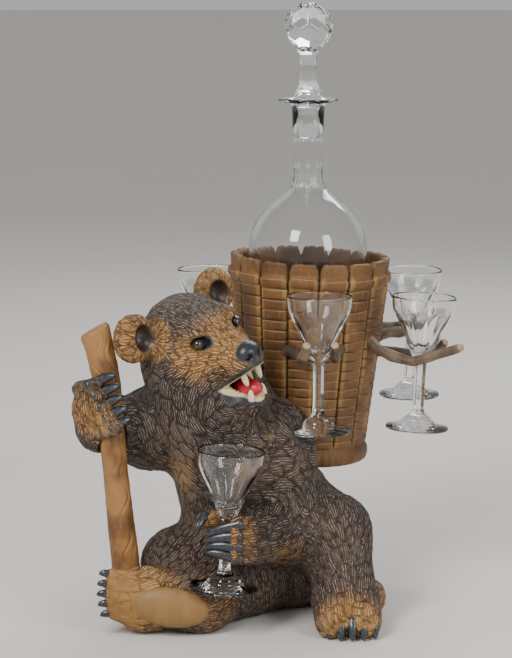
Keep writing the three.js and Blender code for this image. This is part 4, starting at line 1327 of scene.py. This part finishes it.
def decanter_rows(columns=144):
    bottom = BASKET_FLOOR + GAP
    lip = DECANTER["lip"]
    body = [(38, bottom + 5), (44.6, 195), (49.2, 262), (49.4, 284), (46.6, 300), (39, 313.5), (29, 323.5), (20, 331)]
    neck = [(15.6, 335.5), (13.4, 341), (12.5, 352), (12.6, 375), (13.4, 398)]
    flare = [(14.4, lip - 5), (19, lip - 3.4), (23.4, lip - 3.1), (25, lip - 1.6), (24.2, lip - 0.2), (20, lip)]
    outside = np.concatenate([[(30, bottom), (34, bottom)], fine_profile([(34.5, bottom + 0.4)] + body + neck, 150), fine_profile(flare, 22)])
    mouth = [(11.9, lip - 0.2), (9.7, lip - 32)]
    hollow_body = [(r - DECANTER["wall"], max(z - 0.6, bottom + DECANTER["base"])) for r, z in body[::-1]]
    inside = fine_profile([(9.9, lip - 34), (10.1, 352), (10.9, 341), (13, 335)] + hollow_body, 120)
    profile = np.concatenate([outside, mouth, inside, [(24, bottom + DECANTER["base"])]])
    outer = np.arange(len(profile)) < len(outside)

    def cut(radius, angle, height):
        panel = smoothstep(height, 333, 337) * smoothstep(height, 358, 350) * outer[:, None]
        return radius * (1 - panel) + polygon(radius * 1.03, angle, 8) * panel

    return turned(profile, columns, cut)


STOPPER = {"ball": 20.4, "centre": 468.2, "waist": 7.3}


def stopper_rows(columns=96):
    """Plug, collar and fluted neck, and a ball ground into staggered rings of facets."""
    lip = DECANTER["lip"]
    plug = [(5, lip - 32.2), (9.0, lip - 32), (9.35, lip - 31), (11.3, lip + 0.4)]
    neck = fine_profile([(11.9, lip + 0.9), (12, lip + 3), (10.6, lip + 6.5), (8.4, 421), (7.4, 428), (7.2, 438), (8.3, 446), (11.2, 450.6)], 44)
    latitude = np.linspace(-0.98, 1.5, 60)
    ball = np.stack([STOPPER["ball"] * np.cos(latitude), STOPPER["centre"] + STOPPER["ball"] * np.sin(latitude)], 1)
    profile = np.concatenate([plug, neck, ball])
    kind = np.repeat([0, 1, 2], [len(plug), len(neck), len(ball)])[:, None]
    facets = ball_facets()

    def cut(radius, angle, height):
        flute = (kind == 1) * smoothstep(height, lip + 1, lip + 5)
        fluted = radius * (1 - flute) + polygon(radius * 1.04, angle, 8) * flute
        sight = np.stack([radius * np.cos(angle), radius * np.sin(angle), height - STOPPER["centre"]], -1)
        away = np.linalg.norm(sight, axis=-1)
        reach = np.max([(sight / away[..., None]) @ normal / flat for normal, flat in facets], 0)
        return np.where(kind == 2, radius / np.maximum(away * reach, 1e-6), fluted)

    rows = turned(profile, columns, cut)
    middle = np.array([0, 0, STOPPER["centre"]])
    shrink = np.linalg.norm(rows[..., :2], axis=-1) / np.maximum(profile[:, :1], 1e-6)
    rows[..., 2] = np.where(kind == 2, middle[2] + (rows[..., 2] - middle[2]) * shrink, rows[..., 2])
    return rows


def ball_facets():
    """Outward normals of the ball's flats, in rings that are staggered, with their depths."""
    flats = [(np.array([0, 0, 1.0]), STOPPER["ball"] * 0.965)]
    for latitude, count, shift in ((52, 6, 0), (18, 8, 0.5), (-16, 8, 0), (-46, 8, 0.5)):
        for i in range(count):
            turn = (i + shift) / count * TURN
            low = latitude * DEGREE
            flats.append((np.array([math.cos(low) * math.cos(turn), math.cos(low) * math.sin(turn), math.sin(low)]), STOPPER["ball"] * 0.93))
    return flats


def glass_rows(columns=96):
    """Stepped foot, six-sided stem, a bowl cut in eight panels, and its hollow."""
    foot = [(20, 0), (25.6, 0.1), (26, 0.8), (25.6, 1.6)]
    steps = [(16, 3), (15.6, 4.3), (13.6, 4.8), (13.2, 6.6), (11.2, 7.2), (10.8, 9), (7.4, 11.4), (5.3, 15)]
    stem = [(4.7, 22), (4.6, 40), (4.9, 54), (6.2, 57.5)]
    bowl = [(8.6, 61.5), (13, 71.5), (18.8, 84.5), (23.4, 93), (25.6, 100.5), (26.2, 106), (26.2, 109.6)]
    hollow_bowl = [(25.0, 109.6), (24.9, 105.5), (24.1, 99.5), (21.8, 92.6), (17, 84.2), (11, 72.5), (6.5, 66.5), (3, 65)]
    outside = np.concatenate([foot, fine_profile(steps + stem + bowl, 104)])
    profile = np.concatenate([outside, [(25.6, 110)], fine_profile(hollow_bowl, 44)])
    outer = (np.arange(len(profile)) < len(outside))[:, None]

    def cut(radius, angle, height):
        stem_cut = smoothstep(height, 9, 15) * smoothstep(height, 62, 56)
        bowl_cut = smoothstep(height, 57, 62) * smoothstep(height, 99, 90)
        six = polygon(radius * 1.1, angle, 6)
        eight = polygon(radius * 1.03, angle, 8)
        made = radius + stem_cut * (six - radius) + bowl_cut * (eight - radius)
        return np.where(outer, made, radius)

    return turned(profile, columns, cut)


# %% [markdown]
# ## Stains, polish and painted shade
#
# Lime wood was stained in two baths, dark umber for the coat and honey brown for the rest, and
# then rubbed back, so that ridges are pale and every cut stays dark. The finishes below do the
# same sum: a patchy ground colour, lighter where a stroke stands up and darker in the cuts. The
# coat adds painted shade: darker wherever the air is shut in, which the field has already
# measured, and in patches under the jaw and the arms, by the right thigh and behind the staff.


# %% The bear's coat
def coat_finish():
    f = Finish("stained_and_shaded_fur", Specular_IOR_Level=0.42, Coat_Roughness=0.35)
    across, along, chance = f.parts(f.attribute("stroke", "Vector"))
    lead, height, fur = f.parts(f.attribute("relief", "Vector"))
    # The stain attribute holds gold and grey stain and the painted shade patches.
    gold, shade_patch, grey = f.parts(f.attribute("stain_and_shade", "Vector"))
    black, ivory, red = f.parts(f.attribute("skin", "Vector"))
    smooth, toes, tongue = f.parts(f.attribute("smooth", "Vector"))
    # The depth attribute's first column is painted shade where the air is shut in.
    occlusion_shade, strap, aside = f.parts(f.attribute("depth", "Vector"))
    place = f.place()
    patch = f.noise(place, 26.0, 3.0).ramp(0.32, 0.68)
    speck = f.noise(place, 700.0, 2.0)
    wobble = f.noise(place, 260.0, 1.0)
    lane = across * 0.5 + chance * 9 + wobble * 0.9
    wave = (lane * TURN).sine() * 0.5 + 0.5
    cut_start = ((lane.floor() * 12.9898 + chance * 78.2).sine() * 43758.5).fraction()
    fleck = (along * 0.16 + cut_start).fraction()
    ridge = wave.ramp(0.35, 0.95) * fleck.ramp(0.0, 0.25) * (1 - fleck.ramp(0.6, 1.0) * 0.7)
    crack = (1 - lead.ramp(0.0, 0.14)) * fur
    ground = f.mix(patch, shade("3a2a20"), shade("5e4534"))
    ground = f.mix((gold * (0.75 + patch * 0.5)).ramp(0.25, 0.85), ground, f.mix(patch, shade("9a6526"), shade("b98a52")))
    ground = f.mix(grey * 0.65, ground, shade("6f645c"))
    # Painted shade: the shade patches darken the ground to near black.
    ground = f.mix(shade_patch.ramp(0.2, 0.9) * 0.75, ground, shade("1f1612"))
    pale = f.mix(gold.ramp(0.2, 0.8), shade("a39a90"), shade("dcb27a"))
    # The pale ridges are dimmed where the painted shade lies.
    lit = ridge * fur * (speck * 0.8 + 0.35) * (1 - occlusion_shade * 0.7) * (1 - shade_patch * 0.55)
    coat = f.mix(lit * 0.75, ground, pale)
    # Dark in the grooves between strokes and the cracks between locks, where the stain stays in the cuts, and painted
    # shade where the air is shut in.
    deep = ((1 - wave).ramp(0.55, 1.0) * fur * 0.7).most(crack * 0.8).most(occlusion_shade * 0.8)
    coat = f.mix(deep, coat, shade("140d0a"))
    plain = f.mix(f.noise(f.stretched(place, (1, 1, 0.25)), 160.0, 3.0), shade("7a5a34"), shade("9c7745"))
    belt = f.mix(f.noise(place, 90.0, 4.0), shade("4f3726"), shade("8a6b4c"))
    plain = f.mix(strap, plain, belt)
    # Painted shade on the bare wood where the air is shut in.
    plain = f.mix(occlusion_shade * 0.6, plain, shade("23170f"))
    coat = f.mix(smooth.most(toes * 0.5), coat, plain)
    coat = f.mix(red, coat, f.mix(tongue, shade("3a0a0c"), shade("b3202c")))
    coat = f.mix(ivory, coat, f.mix(speck, shade("b39a5e"), shade("f0e4bd")))
    coat = f.mix(black, coat, f.mix(speck * 0.4, shade("0b0d11"), shade("343a44")))
    f.colour(coat)
    gloss = 0.62 - smooth * 0.16 - black * 0.3 - tongue * 0.25 - ivory * 0.2 + speck * 0.12
    f.roughness(gloss)
    f.fill(f.shader.inputs["Coat Weight"], (black * 0.6).most(tongue * 0.5))
    f.bump(ridge * fur * 0.8 + speck * 0.2 - crack * 0.6, 0.0009, 0.9)
    return f.material


def horn_finish():
    f = Finish("claw_polish", Specular_IOR_Level=0.6, Coat_Weight=0.5, Coat_Roughness=0.12)
    place = f.place()
    streak = f.noise(f.stretched(place, (1, 0.5, 1)), 600.0, 3.0)
    f.colour(f.mix(streak.ramp(0.4, 0.75), shade("0c0f14"), shade("3a424e")))
    f.roughness(0.22 + streak * 0.3)
    f.bump(streak, 0.0003, 0.5)
    return f.material


def tooth_finish(name, low, high):
    f = Finish(name, Specular_IOR_Level=0.5)
    cloud = f.noise(f.place(), 500.0, 3.0)
    f.colour(f.mix(cloud, shade(low), shade(high)))
    f.roughness(0.3 + cloud * 0.2)
    return f.material


bear = bear_piece([coat_finish(), horn_finish(), tooth_finish("ivory_tooth", "cbb98a", "f4ead0"), tooth_finish("worn_tooth", "6e4a24", "cdb98c")])


# %% Branch stains
def with_poles(values):
    """One number for each point of a closed grid, its two poles included."""
    return np.concatenate([values.ravel(), values[:1].mean(1), values[-1:].mean(1)])


def branch_finish(name, deep, ground, pale, end):
    f = Finish(name, Specular_IOR_Level=0.45)
    furrow, notch, cut = f.parts(f.attribute("bark", "Vector"))
    place = f.place()
    grain = f.noise(f.stretched(place, (1, 1, 0.12)), 420.0, 4.0, 0.6)
    patch = f.noise(place, 45.0, 2.0).ramp(0.35, 0.65)
    tone = f.mix(patch, shade(ground), shade(pale))
    tone = f.mix((1 - furrow.ramp(0.0, 0.35)) * 0.85, tone, shade(deep))
    tone = f.mix(grain.ramp(0.55, 0.75) * 0.5, tone, shade(pale))
    tone = f.mix(notch.ramp(0.3, 0.8) * 0.9, tone, shade(deep))
    f.colour(f.mix(cut, tone, f.mix(grain, shade(end), shade(pale))))
    f.roughness(0.5 + grain * 0.25 - furrow * 0.1)
    f.bump(grain * 0.6 + furrow * 0.4 - notch * 0.5, 0.0007, 0.8)
    return f.material


def branch_piece(name, rows, furrow, notch, cut, finish, node):
    points, faces = closed_grid(rows)
    made = mesh_object(name, points, faces, [finish])
    give(made, "bark", np.stack([with_poles(v) for v in (furrow, notch, cut)], 1))
    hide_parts(node)
    return made


rows, furrow, notch = staff_rows()
staff_stain = branch_finish("staff_stain", "2a180c", "6a4522", "9c7040", "b08a5a")
branch_piece("staff_branch", rows, furrow / 0.85, notch, notch * 0, staff_stain, "staff")

twig_stain = branch_finish("twig_stain", "1e140e", "4b3a2c", "7d6a55", "d8b98a")
for order, (name, glass, side, style) in enumerate(TWIGS):
    rows, furrow, cut = twig_rows(twig_line(glass, side, style), order)
    bark = np.broadcast_to(furrow / 0.35, rows.shape[:2])
    branch_piece("twig_bark_" + name, rows, bark, bark * 0, cut, twig_stain, "twig_" + name)


# %% The basket's stain
def basket_finish():
    f = Finish("basket_stain", Specular_IOR_Level=0.45)
    s, course, chance = f.parts(f.attribute("weave", "Vector"))
    dark, woven, inner = f.parts(f.attribute("cuts", "Vector"))
    place = f.place()
    grain = f.noise(f.stretched(place, (1, 1, 0.2)), 500.0, 4.0, 0.65)
    patch = f.noise(place, 30.0, 3.0).ramp(0.3, 0.7)
    each = ((course.floor() * 12.9898 + chance * 78.2).sine() * 43758.5).fraction()
    tone = f.mix(patch * 0.6 + each * 0.4, shade("54351d"), shade("80592f"))
    rim_light = ((s - 0.5).size() * 2).ramp(0.55, 0.85) * woven
    tone = f.mix(rim_light * patch * 0.75, tone, shade("b08a4a"))
    tone = f.mix(grain.ramp(0.5, 0.8) * 0.5, tone, shade("9f7c4d"))
    tone = f.mix(inner * 0.5, tone, shade("6d5233"))
    # A pale line just under each course's top edge: a painted highlight where light from above catches the top of each
    # band.
    edge = (course.fraction() - 0.93).size().ramp(0.05, 0.0) * woven
    tone = f.mix(edge * 0.5, tone, shade("c4a06a"))
    tone = f.mix(dark.ramp(0.25, 0.8) * 0.9, tone, shade("1c0f08"))
    f.colour(tone)
    f.roughness(0.45 + grain * 0.25)
    f.bump(grain * 0.5 - dark * 0.5, 0.0006, 0.8)
    return f.material


rows, dark, weave, kind, woven = basket_grid()
rows = standing(rows, BASKET["foot"], BASKET_TOP)
points, faces = closed_grid(rows)
basket = mesh_object("basket_weave", points, faces, [basket_finish()])
give(basket, "weave", np.stack([with_poles(weave[..., n]) for n in range(3)], 1))
give(basket, "cuts", np.stack([with_poles(v) for v in (dark, woven * np.ones_like(dark), (kind >= 2) * 1.0)], 1))
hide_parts("basket")


# %% Clear glass and the dark eyes
def glass_finish(name, roughness=0.0):
    f = Finish(name, Transmission_Weight=1.0, IOR=1.5, Base_Color=(1, 1, 1, 1))
    ripple = f.noise(f.place(), 55.0, 1.0)
    scratch = f.attribute("engraved")
    f.roughness(scratch * 0.55 + roughness)
    f.bump(ripple * 0.35 - scratch * 0.65, 0.0006, 0.35)
    return f.material


def eye_finish():
    f = Finish("eye_glass_bead", Coat_Weight=1.0, Coat_Roughness=0.02, Specular_IOR_Level=0.6)
    ring = f.attribute("sight")
    cloud = f.noise(f.place(), 900.0, 2.0)
    iris = f.mix(cloud, shade("1c0e05"), shade("3c200c"))
    tone = f.mix(ring.ramp(0.55, 0.75), shade("0a0a0c"), iris)
    f.colour(f.mix(ring.ramp(0.88, 0.93), tone, shade("030304")))
    f.roughness(0.06 + cloud * 0.03)
    return f.material


eye_bead = eye_finish()
for name, side in (("eye_left", 1), ("eye_right", -1)):
    (points, faces), middle, sight = eyeball(side)
    bead = mesh_object("bead_" + name, points, faces, [eye_bead])
    give(bead, "sight", unit(points - middle) @ sight)
    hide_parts(name)


def blown_piece(name, rows, finish, node, engraved=None):
    points, faces = closed_grid(rows)
    made = mesh_object(name, points, faces, [finish])
    give(made, "engraved", with_poles(engraved) if engraved is not None else np.zeros(len(points)))
    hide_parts(node)
    return made


cut_glass = glass_finish("clear_cut_glass")
upright = np.array([DECANTER["x"], DECANTER["y"], 0])
blown_piece("decanter_blown", decanter_rows() + upright, cut_glass, "decanter")
blown_piece("stopper_cut", stopper_rows() + upright, cut_glass, "stopper")
one_glass = glass_rows()
for name, (foot, rim) in GLASSES.items():
    blown_piece("liqueur_glass_" + name, standing(one_glass, np.array(foot, float), np.array(rim, float)), cut_glass, "glass_" + name)

# %% [markdown]
# ## Floor, light and camera
#
# A plain pale floor that runs on past the picture, two soft boxes in front and one behind, and
# the camera where the photograph was taken from: level with the bear's head and a little above.


# %% Floor
def floor_finish():
    f = Finish("pale_floor", Specular_IOR_Level=0.2)
    cloud = f.noise(f.place(), 3.0, 3.0)
    f.colour(f.mix(cloud, shade("dddad4"), shade("e2dfd9")))
    f.roughness(0.7 + cloud * 0.1)
    return f.material


def disc(radius, rings=24, columns=96):
    """A flat disc whose rings crowd together at its middle."""
    reach = radius * (np.arange(1, rings + 1) / rings) ** 3
    angle = np.arange(columns) / columns * TURN
    rows = np.stack([reach[:, None] * np.cos(angle), reach[:, None] * np.sin(angle), np.zeros((rings, columns))], -1)
    points, faces = closed_grid(rows)
    return points[:-1], faces[(faces < len(points) - 1).all(1)][:, ::-1]


points, faces = disc(30000.0)
floor_data = bpy.data.meshes.new("floor")
floor_data.from_pydata((points * MILLIMETRE).tolist(), [], faces.tolist())
floor_data.materials.append(floor_finish())
floor = bpy.data.objects.new("floor", floor_data)
bpy.context.scene.collection.objects.link(floor)
floor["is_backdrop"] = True


# %% Lights and camera
def aimed(data, name, place, target):
    """Links an object that looks from a place to a target, both in metres."""
    made = bpy.data.objects.new(name, data)
    bpy.context.scene.collection.objects.link(made)
    back = unit(np.subtract(place, target))
    right = unit(np.cross([0, 0, 1.0], back))
    turn = np.stack([right, np.cross(back, right), back], 1)
    matrix = np.eye(4)
    matrix[:3, :3] = turn
    matrix[:3, 3] = place
    made.matrix_world = [list(row) for row in matrix.T]
    return made


def softbox(name, place, width, height, watts, tint=(1, 1, 1)):
    data = bpy.data.lights.new(name, "AREA")
    data.shape, data.size, data.size_y, data.energy, data.color = "RECTANGLE", width, height, watts, tint
    return aimed(data, name, place, (0, 0, 0.22))


softbox("key_softbox", (-0.75, -1.25, 1.25), 0.5, 0.8, 26, (1, 0.985, 0.96))
softbox("fill_softbox", (1.05, -1.15, 0.8), 0.45, 0.8, 10, (0.96, 0.98, 1))
softbox("back_softbox", (0.5, 1.3, 1.5), 1.1, 0.8, 18)

world = bpy.data.worlds.new("studio")
world.use_nodes = True
world.node_tree.nodes["Background"].inputs["Color"].default_value = (0.80, 0.80, 0.80, 1)
world.node_tree.nodes["Background"].inputs["Strength"].default_value = 0.6
bpy.context.scene.world = world

PIXELS_FOCAL, PHOTO_HEIGHT, SENSOR = 2250, 658, 36
camera_data = bpy.data.cameras.new("photo_camera")
camera_data.sensor_width = SENSOR
camera_data.lens = PIXELS_FOCAL / PHOTO_HEIGHT * SENSOR
camera_data.clip_end = 100
camera = aimed(camera_data, "photo_camera", (0, -1.7778, 0.5121), (0, 0, 0.2305))
bpy.context.scene.camera = camera

# %% [markdown]
# ## Measure and finish
#
# Both boxes, the solids' and the visual model's, are printed.

# %% Measure and finish
bpy.context.view_layer.update()
seen_low, seen_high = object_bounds()
sizes = {
    "cad_box": [list(map(float, cad_low)), list(map(float, cad_high))],
    "visual_box": [list(map(float, seen_low)), list(map(float, seen_high))],
}
for name, box in sizes.items():
    print(name, [[round(c * 1000, 1) for c in corner] for corner in box])
